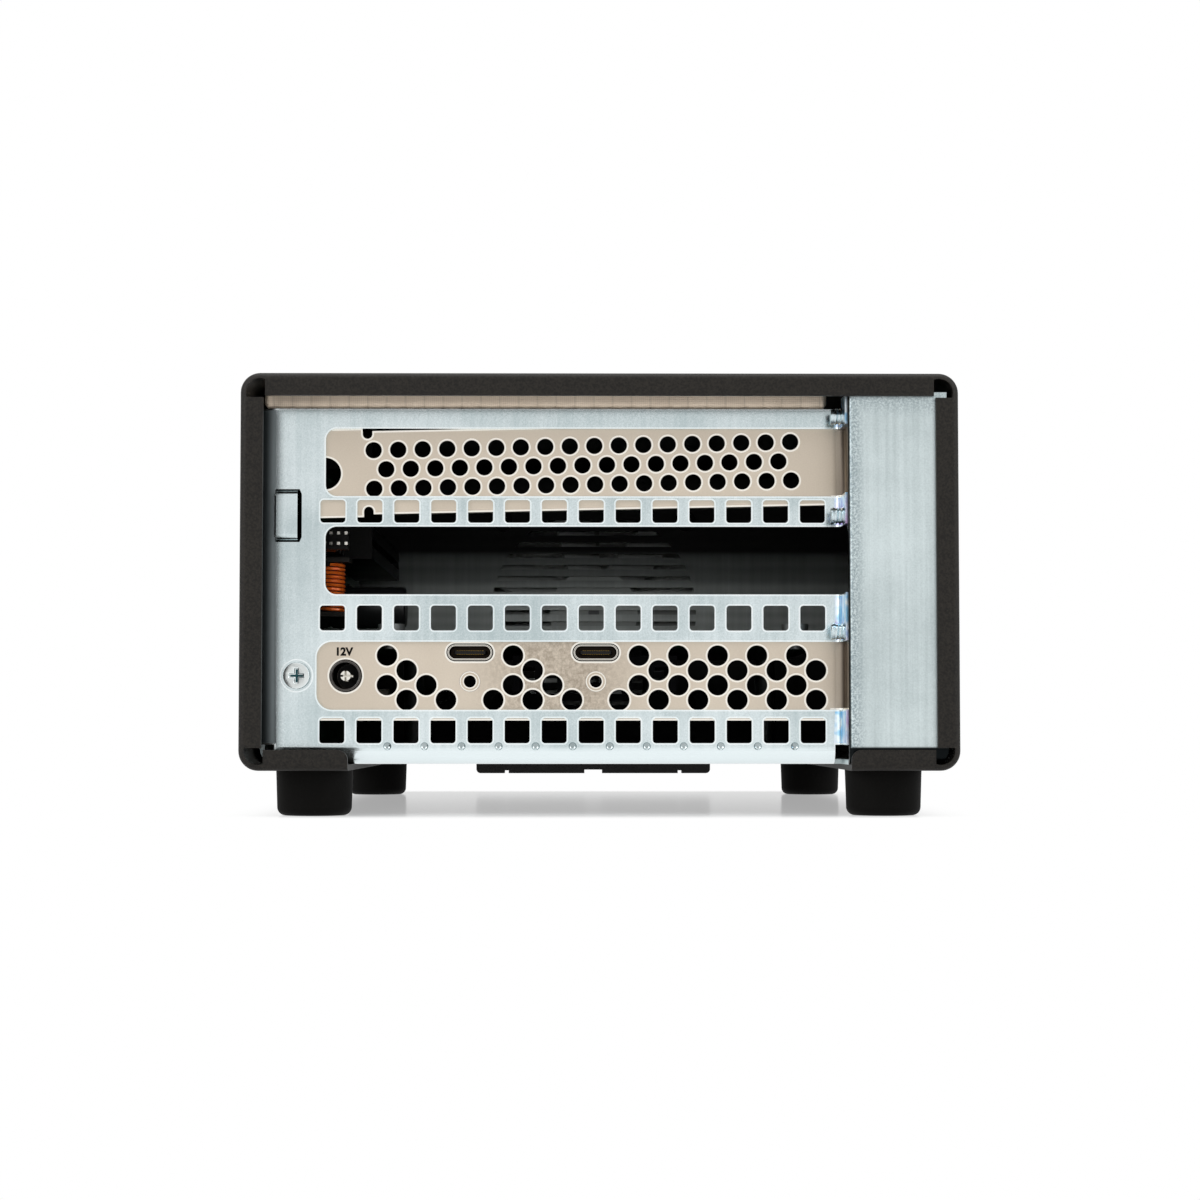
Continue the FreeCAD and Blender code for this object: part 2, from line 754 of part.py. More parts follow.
def tie_bridge():
    """Lanced strip for a cable tie: the opening that it leaves, and the strip that stands in it."""
    middle = "left + bridge_inset"
    level = "(upper_slot + middle_slot) / 2 - bridge_drop"
    low = f"{level} - bridge_height / 2"
    high = f"{level} + bridge_height / 2"
    reach = "(bridge_width / 2 + bridge_slit)"
    lance = block("bridge_lance", (f"{middle} - {reach}", f"{middle} + {reach}"),
                  (f"panel - {PAST}", f"panel_inner + {PAST}"), (low, high))
    strip_x = (f"{middle} - bridge_width / 2", f"{middle} + bridge_width / 2")
    strip_box = block("bridge_box", strip_x, ("panel - bridge_rise", "panel_inner"),
                      (f"{low} - cage_sheet", f"{high} + cage_sheet"))
    arch = rounded("bridge_arch", strip_box,
                   *[("x", {"y": "panel - bridge_rise", "z": f"{end} {way} cage_sheet"}, "bridge_rise")
                     for end, way in ((low, "-"), (high, "+"))])
    under = block("bridge_under", strip_x, ("panel - bridge_rise + cage_sheet", f"panel_inner + {PAST}"),
                  (f"{low} + cage_sheet", f"{high} - cage_sheet"))
    return lance, cut("bridge_strip", arch, under)


def make_rear_panel():
    """Rear panel with card windows, square vents and a tie bridge; its bent screw tabs are a sub-part."""
    windows = [
        slot_window("upper_window", "upper_slot", "window_left", "window_corner"),
        slot_window("middle_window", "middle_slot", "window_left", "window_corner"),
        slot_window("lower_window", "lower_slot", "lower_window_left", "lower_window_corner"),
    ]
    rows = [
        vent_row("upper_vent", "(upper_slot + middle_slot) / 2", "vent_short"),
        vent_row("middle_vent", "(middle_slot + lower_slot) / 2", "vent_size"),
        vent_row("lower_vent", "lower_slot - window_height / 2 - lower_vent_drop", "vent_size"),
    ]
    holes = []
    for slot in ("upper_slot", "middle_slot", "lower_slot"):
        holes.append(rod(f"ledge_hole_{slot}", "x", ("tab_screw_place", f"{slot} + tab_screw_rise"),
                         (f"ledge - cage_sheet - {PAST}", f"ledge + {PAST}"), "screw_hole"))
    openings = group("panel_openings", windows + sum(rows, []) + dimple_row(len(rows[2])) + holes)
    opened = cut("panel_opened", bent_panel_sheet(), openings)

    screw_spot = ("left + rear_screw_inset", "lower_slot")
    screw_hole = rod("panel_screw_hole", "y", screw_spot, (f"panel - {PAST}", f"panel_inner + {PAST}"),
                     "screw_hole")
    ring = rod("panel_screw_ring", "y", screw_spot, (f"panel - {PAST}", "panel + rear_screw_sink"),
               "rear_screw_ring / 2")
    lance, bridge = tie_bridge()
    drilled = cut("panel_drilled", opened, fuse("panel_screw_seat", screw_hole, ring), lance)
    finished = fuse("panel_finished", drilled, bridge)
    ledge_room = block("ledge_room", ("base_edge", f"ledge + {PAST}"),
                       (f"panel - ledge_reach - {PAST}", f"panel_inner + {PAST}"),
                       (f"cage_floor - {PAST}", f"panel_top + ledge_head + {PAST}"))
    keep("rear_panel", cut("panel_face", finished, ledge_room))
    keep("slot_ledge", common("ledge_tabs", finished, ledge_room))


def make_gasket():
    """Conductive fabric strip between the cage's top flange and the cover."""
    start = "cover_corner - side - gasket_round"
    strip = block("gasket_strip", (start, "ledge - gasket_end_gap"),
                  ("panel", "panel + gasket_depth"), ("panel_top", "inner_top"))
    edges = [("x", {"y": y, "z": z}, "gasket_round")
             for y in ("panel", "panel + gasket_depth") for z in ("panel_top", "inner_top")]
    edges.append(("y", {"x": start, "z": "inner_top"}, "gasket_round"))
    keep("emi_gasket", rounded("gasket_finished", strip, *edges))


def bent_bracket(name, slot, face_pieces):
    """Bracket face and screw tab joined by a round bend; the tab stands above the face."""
    low = f"{slot} - bracket_width / 2 + tab_overhang"
    high = f"{slot} + bracket_width / 2"
    tab_x = ("ledge", "ledge + bracket_sheet")
    bend_end = "ledge - bracket_bend - bracket_sheet"
    face_end = block(name + "_face_end", (bend_end, tab_x[1]), ("panel_inner", "bracket_inner"), (low, high))
    tab = block(name + "_tab", tab_x, ("tab_end", "bracket_inner"), (low, high))
    bend = rounded(
        name + "_bend", fuse(name + "_face_and_tab", face_end, tab),
        ("z", {"x": "ledge", "y": "panel_inner"}, "bracket_bend"),
        ("z", {"x": tab_x[1], "y": "bracket_inner"}, "bracket_bend + bracket_sheet"),
    )
    tab_top = block(name + "_tab_top", tab_x, ("tab_end", "panel_inner - bracket_bend"),
                    (high, f"{high} + tab_overhang"))
    screw_level = f"{slot} + tab_screw_rise"
    across = (f"ledge - {PAST}", f"ledge + bracket_sheet + {PAST}")
    round_end = rod(name + "_notch_end", "x", ("tab_screw_place", screw_level), across, "tab_notch / 2")
    throat = block(name + "_notch", across,
                   ("tab_screw_place - tab_notch / 2", "tab_screw_place + tab_notch / 2"),
                   (screw_level, f"{high} + tab_overhang + {PAST}"))
    return cut(name + "_notched", fuse(name + "_joined", bend, tab_top, *face_pieces), round_end, throat)


def make_upper_slot_cover():
    """Perforated slot cover with folded long edges, hung a little crooked on its screw."""
    sheet_y = ("panel_inner", "bracket_inner")
    notch_right = "tongue_end + blank_notch_inset + blank_notch_width"
    main = block("blank_main", (f"{notch_right} - {PAST}", "ledge - bracket_bend - bracket_sheet"), sheet_y,
                 ("upper_slot - bracket_width / 2", "upper_slot + bracket_width / 2"))
    end_box = block("blank_end_box", ("tongue_end", notch_right), sheet_y,
                    ("upper_slot - bracket_width / 2", "upper_slot + bracket_width / 2"))
    end = rounded("blank_end", end_box,
                  *corner_rounds("y", ("tongue_end",),
                                 ("upper_slot - bracket_width / 2", "upper_slot + bracket_width / 2"),
                                 "bracket_end_round"))
    bent = bent_bracket("blank", "upper_slot", (main, end))
    trims = []
    trim_x = (notch_right, "ledge - bracket_bend - bracket_sheet")
    for edge, start, stop in (
        ("low", f"upper_slot - bracket_width / 2 - {PAST}", "blank_low_edge"),
        ("high", "blank_high_edge", f"upper_slot + bracket_width / 2 + {PAST}"),
    ):
        trims.append(block(f"blank_trim_{edge}", trim_x,
                           (f"panel_inner - {PAST}", f"bracket_inner + {PAST}"), (start, stop)))
    notch_middle = "tongue_end + blank_notch_inset + blank_notch_width / 2"
    notch_span = (f"panel_inner - {PAST}", f"bracket_inner + {PAST}")
    low_end = "blank_low_edge + blank_notch_depth"
    high_end = "blank_high_edge - blank_notch_depth"
    for edge, end, start, stop in (
        ("low", low_end, f"upper_slot - bracket_width / 2 - {PAST}", low_end),
        ("high", high_end, high_end, f"upper_slot + bracket_width / 2 + {PAST}"),
    ):
        trims.append(block(f"blank_notch_{edge}", ("tongue_end + blank_notch_inset", notch_right),
                           notch_span, (start, stop)))
        trims.append(rod(f"blank_notch_end_{edge}", "y", (notch_middle, end), notch_span,
                         "blank_notch_width / 2"))
    trimmed = cut("blank_trimmed", bent, *trims)
    flange_y = ("panel_inner", "panel_inner + blank_flange")
    flanges = [
        block("blank_flange_low", trim_x, flange_y, ("blank_low_edge", "blank_low_edge + bracket_sheet")),
        block("blank_flange_high", trim_x, flange_y,
              ("blank_high_edge - bracket_sheet", "blank_high_edge")),
    ]
    folded = fuse("blank_folded", trimmed, *flanges)

    room = number("ledge - bracket_bend - blank_hole - (tongue_end + blank_first_hole)")
    count = int(room / number("blank_hole_pitch"))
    through = (f"panel_inner - {PAST}", f"bracket_inner + {PAST}")
    holes = [rod("blank_eye", "y", ("tongue_end + blank_eye_inset", "upper_slot"), through, "blank_eye / 2")]
    for row in (-1, 0, 1):
        shift = 0.5 if row == 0 else 0
        for index in range(count - (1 if row == 0 else 0)):
            x = f"tongue_end + blank_first_hole + ({index} + {shift}) * blank_hole_pitch"
            z = f"upper_slot + blank_row_shift + ({row}) * blank_row_pitch"
            holes.append(rod(f"blank_hole_{row + 1}_{index}", "y", (x, z), through, "blank_hole / 2"))
    cover = cut("blank_finished", folded, group("blank_holes", holes))
    hinge = FreeCAD.Vector(number("ledge"), 0, number("upper_slot + bracket_width / 2 + tab_overhang"))
    lean = FreeCAD.Rotation(FreeCAD.Vector(0, 1, 0), -number("blank_tilt"))
    cover.Placement = FreeCAD.Placement(FreeCAD.Vector(), lean, hinge)
    keep("upper_slot_cover", cover)


IO_HOLE_ROWS = 4


def io_hole_places():
    """Lattice steps of the round holes, row by row from the top, clear of jack and ports."""
    last = int(number("(ledge - bracket_bend - io_hole / 2 - left - io_first_hole) / io_half_pitch"))
    port_step = number("port_pitch / io_half_pitch")
    near_ports = ((0, 0), (1, 1), (2, 0), (2, 2), (3, 1), (3, 3))
    between = (3, -1)
    steps = list(near_ports)
    steps += [(row, step + port_step) for row, step in near_ports + (between,)]
    free = 2 * port_step
    steps.append((between[0], between[1] + free))
    for row in range(IO_HOLE_ROWS):
        steps += [(row, free + step) for step in range(row % 2, last, 2) if free + step <= last]
    return steps


def stadium(name, centre_x, centre_z, width, height, span):
    """A flat-sided rod along Y with round ends, as a reversible plug has."""
    half = f"(({width}) - ({height})) / 2"
    bar = block(name + "_bar", (f"{centre_x} - {half}", f"{centre_x} + {half}"), span,
                (f"{centre_z} - ({height}) / 2", f"{centre_z} + ({height}) / 2"))
    ends = [rod(f"{name}_end_{i}", "y", (f"{centre_x} {way} {half}", centre_z), span, f"({height}) / 2")
            for i, way in enumerate("-+")]
    return fuse(name, bar, *ends)


def make_io_bracket():
    """Bracket that carries jack, ports, lock threads and vents; its bent screw tab is a sub-part."""
    low = "lower_slot - bracket_width / 2"
    high = "lower_slot + bracket_width / 2"
    face_box = block("io_face_box", ("tongue_end", "ledge - bracket_bend - bracket_sheet"),
                     ("panel_inner", "bracket_inner"), (low, high))
    face = rounded("io_face", face_box,
                   *corner_rounds("y", ("tongue_end",), (low, high), "bracket_end_round"))
    bent = bent_bracket("io", "lower_slot", (face,))
    ears = []
    for hand, middle in EARS.items():
        x = (f"{middle} - ear_width / 2", f"{middle} + ear_width / 2")
        flat = block(f"io_ear_{hand}", x, ("panel_inner", "panel_inner + ear_depth"),
                     ("board_top", "board_top + bracket_sheet"))
        riser = block(f"io_riser_{hand}", x, ("panel_inner", "bracket_inner"),
                      (f"{high} - {PAST}", "board_top + bracket_sheet"))
        ears += [flat, riser] if number(f"board_top + bracket_sheet - ({high})") > 0 else [flat]
    eared = fuse("io_eared", bent, *ears)

    through = (f"panel_inner - {PAST}", f"bracket_inner + {PAST}")
    holes = [
        rod("io_jack_hole", "y", ("jack_place", "lower_slot"), through, "jack_hole / 2"),
        rod("io_screw_hole", "y", ("left + rear_screw_inset", "lower_slot"), through, "screw_hole"),
    ]
    for hand, x in PORTS.items():
        holes.append(stadium(f"io_port_{hand}", x, "port_height_place", "port_width + 2 * port_gap",
                             "port_height + 2 * port_gap", through))
        holes.append(rod(f"io_lock_{hand}", "y", (x, "lower_slot - lock_drop"), through,
                         "lock_shank / 2 + hole_gap"))
    for index, (row, step) in enumerate(io_hole_places()):
        x = f"left + io_first_hole + ({step}) * io_half_pitch"
        z = f"lower_slot + io_top_row_rise - {row} * io_row_pitch"
        holes.append(rod(f"io_hole_{index}", "y", (x, z), through, "io_hole / 2"))
    for hand, middle in EARS.items():
        holes.append(rod(f"io_ear_hole_{hand}", "z", (middle, "panel_inner + ear_depth / 2 + bracket_sheet"),
                         (f"board_top - {PAST}", f"board_top + bracket_sheet + {PAST}"), "screw_hole"))
    finished = cut("io_finished", eared, group("io_holes", holes))
    tab_room = block("io_tab_room",
                     ("ledge - bracket_bend - bracket_sheet", f"ledge + bracket_sheet + {PAST}"),
                     (f"tab_end - {PAST}", f"bracket_inner + {PAST}"),
                     (f"{low} - {PAST}", f"{high} + tab_overhang + {PAST}"))
    keep("io_bracket", cut("io_plate", finished, tab_room))
    keep("io_bracket_tab", common("io_tab_piece", finished, tab_room))


def make_power_jack():
    """Barrel socket under the board, with its centre pin."""
    spot = ("jack_place", "lower_slot")
    body = block("jack_body", ("jack_place - jack_body_width / 2", "jack_place + jack_body_width / 2"),
                 ("bracket_inner", "bracket_inner + jack_body_depth"),
                 ("lower_slot - jack_body_drop", "board_under"))
    barrel = rod("jack_barrel_rod", "y", spot, ("panel_inner - jack_proud", f"bracket_inner + {PAST}"),
                 "jack_barrel / 2")
    bore = rod("jack_bore_rod", "y", spot,
               (f"panel_inner - jack_proud - {PAST}", "bracket_inner + jack_bore_depth"), "jack_bore / 2")
    keep("dc_jack", cut("jack_finished", fuse("jack_solid", body, barrel), bore))
    pin = rod("jack_pin_rod", "y", spot,
              ("panel_inner - jack_proud + jack_pin_setback", "bracket_inner + jack_bore_depth"),
              "jack_pin / 2")
    tip = ("panel_inner - jack_proud", "bracket_inner + jack_bore_depth / 2")
    flat = block("pin_slit_flat", ("jack_place - jack_pin", "jack_place + jack_pin"), tip,
                 ("lower_slot - jack_pin_slit / 2", "lower_slot + jack_pin_slit / 2"))
    upright = block("pin_slit_upright", ("jack_place - jack_pin_slit / 2", "jack_place + jack_pin_slit / 2"),
                    tip, ("lower_slot - jack_pin", "lower_slot + jack_pin"))
    keep("dc_jack_pin", cut("jack_pin_finished", pin, flat, upright))


def make_ports():
    """Two reversible ports under the board: a drawn shell and a tongue in each."""
    back = "bracket_inner + port_depth"
    for hand, x in PORTS.items():
        outer = stadium(f"port_outer_{hand}", x, "port_height_place", "port_width", "port_height",
                        ("panel_inner - port_proud", back))
        inner = stadium(f"port_inner_{hand}", x, "port_height_place", "port_width - 2 * port_wall",
                        "port_height - 2 * port_wall", (f"panel_inner - port_proud - {PAST}",
                                                        f"{back} - port_wall"))
        keep(f"port_shell_{hand}", cut(f"port_shell_{hand}_finished", outer, inner))
        half_wide = "port_tongue_width / 2"
        half_tall = "port_tongue_height / 2"
        tongue_box = block(f"port_tongue_{hand}_box", (f"{x} - {half_wide}", f"{x} + {half_wide}"),
                           ("panel_inner - port_proud + port_tongue_setback", f"{back} - port_wall"),
                           (f"port_height_place - {half_tall}", f"port_height_place + {half_tall}"))
        ends = [("z", {"x": f"{x} {way} {half_wide}",
                       "y": "panel_inner - port_proud + port_tongue_setback"}, half_tall) for way in "-+"]
        keep(f"port_tongue_{hand}", rounded(f"port_tongue_{hand}_finished", tongue_box, *ends))


def make_lock_nuts():
    """Press nuts behind the bracket that take the locking screws of the cables."""
    nuts = []
    for hand, x in PORTS.items():
        spot = (x, "lower_slot - lock_drop")
        shank = rod(f"lock_shank_{hand}", "y", spot, ("panel_inner", "bracket_inner"), "lock_shank / 2")
        flange = rod(f"lock_flange_{hand}", "y", spot, ("bracket_inner", "panel_inner + lock_length"),
                     "lock_flange / 2")
        bore = rod(f"lock_bore_{hand}", "y", spot,
                   (f"panel_inner - {PAST}", f"panel_inner + lock_length + {PAST}"), "lock_thread / 2")
        nuts.append(cut(f"lock_nut_{hand}", fuse(f"lock_solid_{hand}", shank, flange), bore))
    keep("lock_nuts", group("lock_nuts_group", nuts))


BOARD_SCREW_END = "board_front - standoff_diameter"
BOARD_STANDOFFS = {
    "left": ("socket_face + standoff_diameter", BOARD_SCREW_END),
    "right": ("board_right - standoff_diameter", BOARD_SCREW_END),
}


def make_interface_board():
    """Upside-down board: parts hang under it, and its edge plugs into the lower socket."""
    level = ("board_under", "board_top")
    rear_edge = "bracket_inner"
    wide = block("board_wide", ("backplane_face + board_edge_gap", "board_right"),
                 (rear_edge, "socket_rear - board_edge_gap"), level)
    deep = block("board_deep", ("socket_face + board_edge_gap", "board_right"),
                 (rear_edge, "board_front"), level)
    fingers = block("board_fingers", ("socket_face - finger_depth", f"socket_face + {PAST}"),
                    ("socket_rear + socket_end_wall + board_edge_gap", "board_front"), level)
    plate = fuse("board_plate", wide, deep, fingers)
    holes = []
    past_board = (f"board_under - {PAST}", f"board_top + {PAST}")
    for hand, middle in EARS.items():
        holes.append(rod(f"board_ear_hole_{hand}", "z",
                         (middle, "panel_inner + ear_depth / 2 + bracket_sheet"), past_board, "screw_hole"))
    for hand, spot in BOARD_STANDOFFS.items():
        holes.append(rod(f"board_hole_{hand}", "z", spot, past_board, "screw_hole"))
    keep("interface_board", cut("board_finished", plate, group("board_holes", holes)))

    posts = []
    screws = []
    for hand, (x, y) in BOARD_STANDOFFS.items():
        post = rod(f"board_post_{hand}", "z", (x, y), ("base_top", "board_under"), "standoff_diameter / 2")
        bore = rod(f"board_post_bore_{hand}", "z", (x, y), (f"base_top + {PAST}", f"board_under + {PAST}"),
                   "screw_hole")
        posts.append(cut(f"board_standoff_{hand}", post, bore))
        screws.append(screw(f"board_screw_{hand}", "z", (x, y), "board_top", 1, "board_screw_length"))
    for hand, middle in EARS.items():
        screws.append(screw(f"ear_screw_{hand}", "z",
                            (middle, "panel_inner + ear_depth / 2 + bracket_sheet"),
                            "board_top + bracket_sheet", 1, "ear_screw_length"))
    keep("board_standoffs", group("board_standoffs_group", posts))
    keep("board_screws", group("board_screws_group", screws))


def make_controller():
    """Controller chip under the board and the finned sink that cools it."""
    x = "(left + port_inset + port_pitch)"
    y = "(panel_inner + sink_from_panel)"
    under = "board_under - chip_height"
    chip = block("chip_box", (f"{x} - chip_side / 2", f"{x} + chip_side / 2"),
                 (f"{y} - chip_side / 2", f"{y} + chip_side / 2"), (under, "board_under"))
    keep("controller_chip", chip)
    sink_x = (f"{x} - sink_side / 2", f"{x} + sink_side / 2")
    slab = block("sink_slab", sink_x, (f"{y} - sink_side / 2", f"{y} + sink_side / 2"),
                 (f"{under} - sink_base", under))
    count = int(number("(sink_side - fin_thickness) / fin_pitch")) + 1
    fins = []
    for index in range(count):
        start = f"{sink_x[0]} + {index} * fin_pitch"
        fins.append(block(f"sink_fin_{index}", (start, f"{start} + fin_thickness"),
                          (f"{y} - sink_side / 2", f"{y} + sink_side / 2"),
                          (f"{under} - sink_height", f"{under} - sink_base")))
    keep("controller_heatsink", fuse("sink_finished", slab, *fins))


BACKPLANE_POSTS = {
    "rear_low": ("backplane_rear + standoff_diameter", "backplane_bottom + standoff_diameter"),
    "rear_high": ("backplane_rear + standoff_diameter", "backplane_top - standoff_diameter"),
    "front_low": ("backplane_front - standoff_diameter", "backplane_bottom + standoff_diameter"),
    "front_high": ("backplane_front - standoff_diameter", "backplane_top - standoff_diameter"),
}


def make_backplane():
    """Upright board on the cage's left wall that carries the three sockets."""
    slab = block("backplane_slab", ("backplane_left", "backplane_face"),
                 ("backplane_rear", "backplane_front"), ("backplane_bottom", "backplane_top"))
    holes = []
    posts = []
    screws = []
    for name, spot in BACKPLANE_POSTS.items():
        holes.append(rod(f"backplane_hole_{name}", "x", spot,
                         (f"backplane_left - {PAST}", f"backplane_face + {PAST}"), "screw_hole"))
        post = rod(f"backplane_post_{name}", "x", spot, ("wall_inner", "backplane_left"),
                   "standoff_diameter / 2")
        bore = rod(f"backplane_bore_{name}", "x", spot,
                   (f"wall_inner + {PAST}", f"backplane_left + {PAST}"), "screw_hole")
        posts.append(cut(f"backplane_standoff_{name}", post, bore))
        screws.append(screw(f"backplane_screw_{name}", "x", spot, "backplane_face", 1,
                            "board_thickness + backplane_standoff / 2"))
    keep("backplane", cut("backplane_finished", slab, group("backplane_holes", holes)))
    keep("backplane_standoffs", group("backplane_standoffs_group", posts))
    keep("backplane_screws", group("backplane_screws_group", screws))

    for slot in ("upper", "middle", "lower"):
        level = f"({slot}_slot + card_rise)"
        body = block(f"socket_{slot}_body", ("backplane_face", "socket_face"),
                     ("socket_rear", "socket_front"),
                     (f"{level} - socket_width / 2", f"{level} + socket_width / 2"))
        groove = block(f"socket_{slot}_groove",
                       ("socket_face - socket_groove_depth", f"socket_face + {PAST}"),
                       ("socket_rear + socket_end_wall", "socket_front - socket_end_wall"),
                       (f"{level} - socket_groove / 2", f"{level} + socket_groove / 2"))
        keep(f"slot_connector_{slot}", cut(f"socket_{slot}_finished", body, groove))


# Outline of one turn of wire: share of its pitch, share of its thickness
WIRE_TURN = ((0.0, 0.35), (0.2, 0.85), (0.5, 1.0), (0.8, 0.85))
CAPACITOR_COUNT = 3


def make_power_parts():
    """Choke and capacitors on the backplane, near its rear edge."""
    x = "backplane_face + choke_flange / 2"
    y = "panel_inner + choke_from_panel"
    level = "middle_slot - choke_below_slot"
    half = "(choke_turns * choke_wire / 2)"
    pieces = [rod("choke_rod", "z", (x, y), (f"{level} - {half}", f"{level} + {half}"), "choke_core_radius")]
    for end, start in (("low", f"{level} - {half} - choke_flange_thickness"), ("high", f"{level} + {half}")):
        pieces.append(block(f"choke_flange_{end}", ("backplane_face", "backplane_face + choke_flange"),
                            (f"{y} - choke_flange / 2", f"{y} + choke_flange / 2"),
                            (start, f"{start} + choke_flange_thickness")))
    keep("choke_core", fuse("choke_core_finished", *pieces))

    inner = "choke_core_radius + shaft_fit"
    corners = [(inner, f"-{half} + hole_gap")]
    for turn in range(int(number("choke_turns"))):
        for share, out in WIRE_TURN:
            corners.append((f"{inner} + {out} * choke_wire", f"-{half} + hole_gap + ({turn} + {share})"
                            " * (choke_wire - 2 * hole_gap / choke_turns)"))
    corners.append((f"{inner} + {WIRE_TURN[0][1]} * choke_wire", f"{half} - hole_gap"))
    corners.append((inner, f"{half} - hole_gap"))
    keep("choke_winding", set_down(turned("choke_winding_body", corners), x, y, level))

    cans = []
    for index in range(CAPACITOR_COUNT):
        spot = (f"panel_inner + capacitor_from_panel + {index} * capacitor_pitch",
                "middle_slot + (window_height - capacitor_radius) / 2")
        can = rod(f"capacitor_can_{index}", "x", spot,
                  ("backplane_face", "backplane_face + capacitor_length"), "capacitor_radius")
        doc.recompute()
        rim = [(edge_number, number("capacitor_round"), number("capacitor_round"))
               for edge_number, edge in enumerate(can.Shape.Edges, start=1)
               if abs(edge.BoundBox.XMin - number("backplane_face + capacitor_length")) < NEAR]
        rounded_can = doc.addObject("Part::Fillet", f"capacitor_{index}")
        rounded_can.Base = can
        rounded_can.Edges = rim
        cans.append(rounded_can)
    keep("capacitors", group("capacitors_group", cans))


def make_bulkhead():
    """Plated wall between card bay and fan, slotted where the fan blows through."""
    x = ("wall_inner + bulkhead_side_gap", "cage_side - bulkhead_side_gap")
    wall = block("bulkhead_wall", x, ("bulkhead", "fan_rear"), ("base_top", "inner_top - bulkhead_head"))
    flange = block("bulkhead_flange_plate", x, ("bulkhead - bulkhead_flange", "fan_rear"),
                   ("base_top", "base_top + cage_sheet"))
    bent = rounded("bulkhead_bent", fuse("bulkhead_wall_and_flange", wall, flange),
                   ("x", {"y": "fan_rear", "z": "base_top"}, "top_bend"),
                   ("x", {"y": "bulkhead", "z": "base_top + cage_sheet"}, "top_bend - cage_sheet"))
    through = (f"bulkhead - {PAST}", f"fan_rear + {PAST}")
    disc = rod("guard_disc", "y", ("0", "fan_height"), through, "guard_radius")
    half_count = int(number("(guard_radius - guard_slot) / guard_pitch"))
    slots = []
    for index in range(-half_count, half_count + 1):
        level = f"fan_height + ({index}) * guard_pitch"
        slots.append(block(f"guard_slot_{index + half_count}", ("-guard_radius", "guard_radius"), through,
                           (f"{level} - guard_slot / 2", f"{level} + guard_slot / 2")))
    guard = common("guard_slots", disc, group("guard_bars", slots))
    holes = []
    for name, (x_hole, z_hole) in FAN_CORNERS.items():
        holes.append(rod(f"bulkhead_fan_hole_{name}", "y", (x_hole, z_hole), through, "screw_hole"))
    holes.append(rod("bulkhead_lead_hole", "y", LEAD_HOLE, through, "fan_lead"))
    for name, x_hole in BULKHEAD_SCREWS.items():
        holes.append(rod(f"flange_hole_{name}", "z", (x_hole, BULKHEAD_SCREW_PLACE),
                         (f"base_top - {PAST}", f"base_top + cage_sheet + {PAST}"), "screw_hole"))
    slotted = cut("bulkhead_slotted", bent, guard)
    keep("front_bulkhead", cut("bulkhead_finished", slotted, group("bulkhead_holes", holes)))
    screws = [screw(f"screw_{name}", "z", (x_hole, BULKHEAD_SCREW_PLACE), "base_top + cage_sheet", 1,
                    "cage_sheet * 2") for name, x_hole in BULKHEAD_SCREWS.items()]
    keep("bulkhead_screws", group("bulkhead_screws_group", screws))


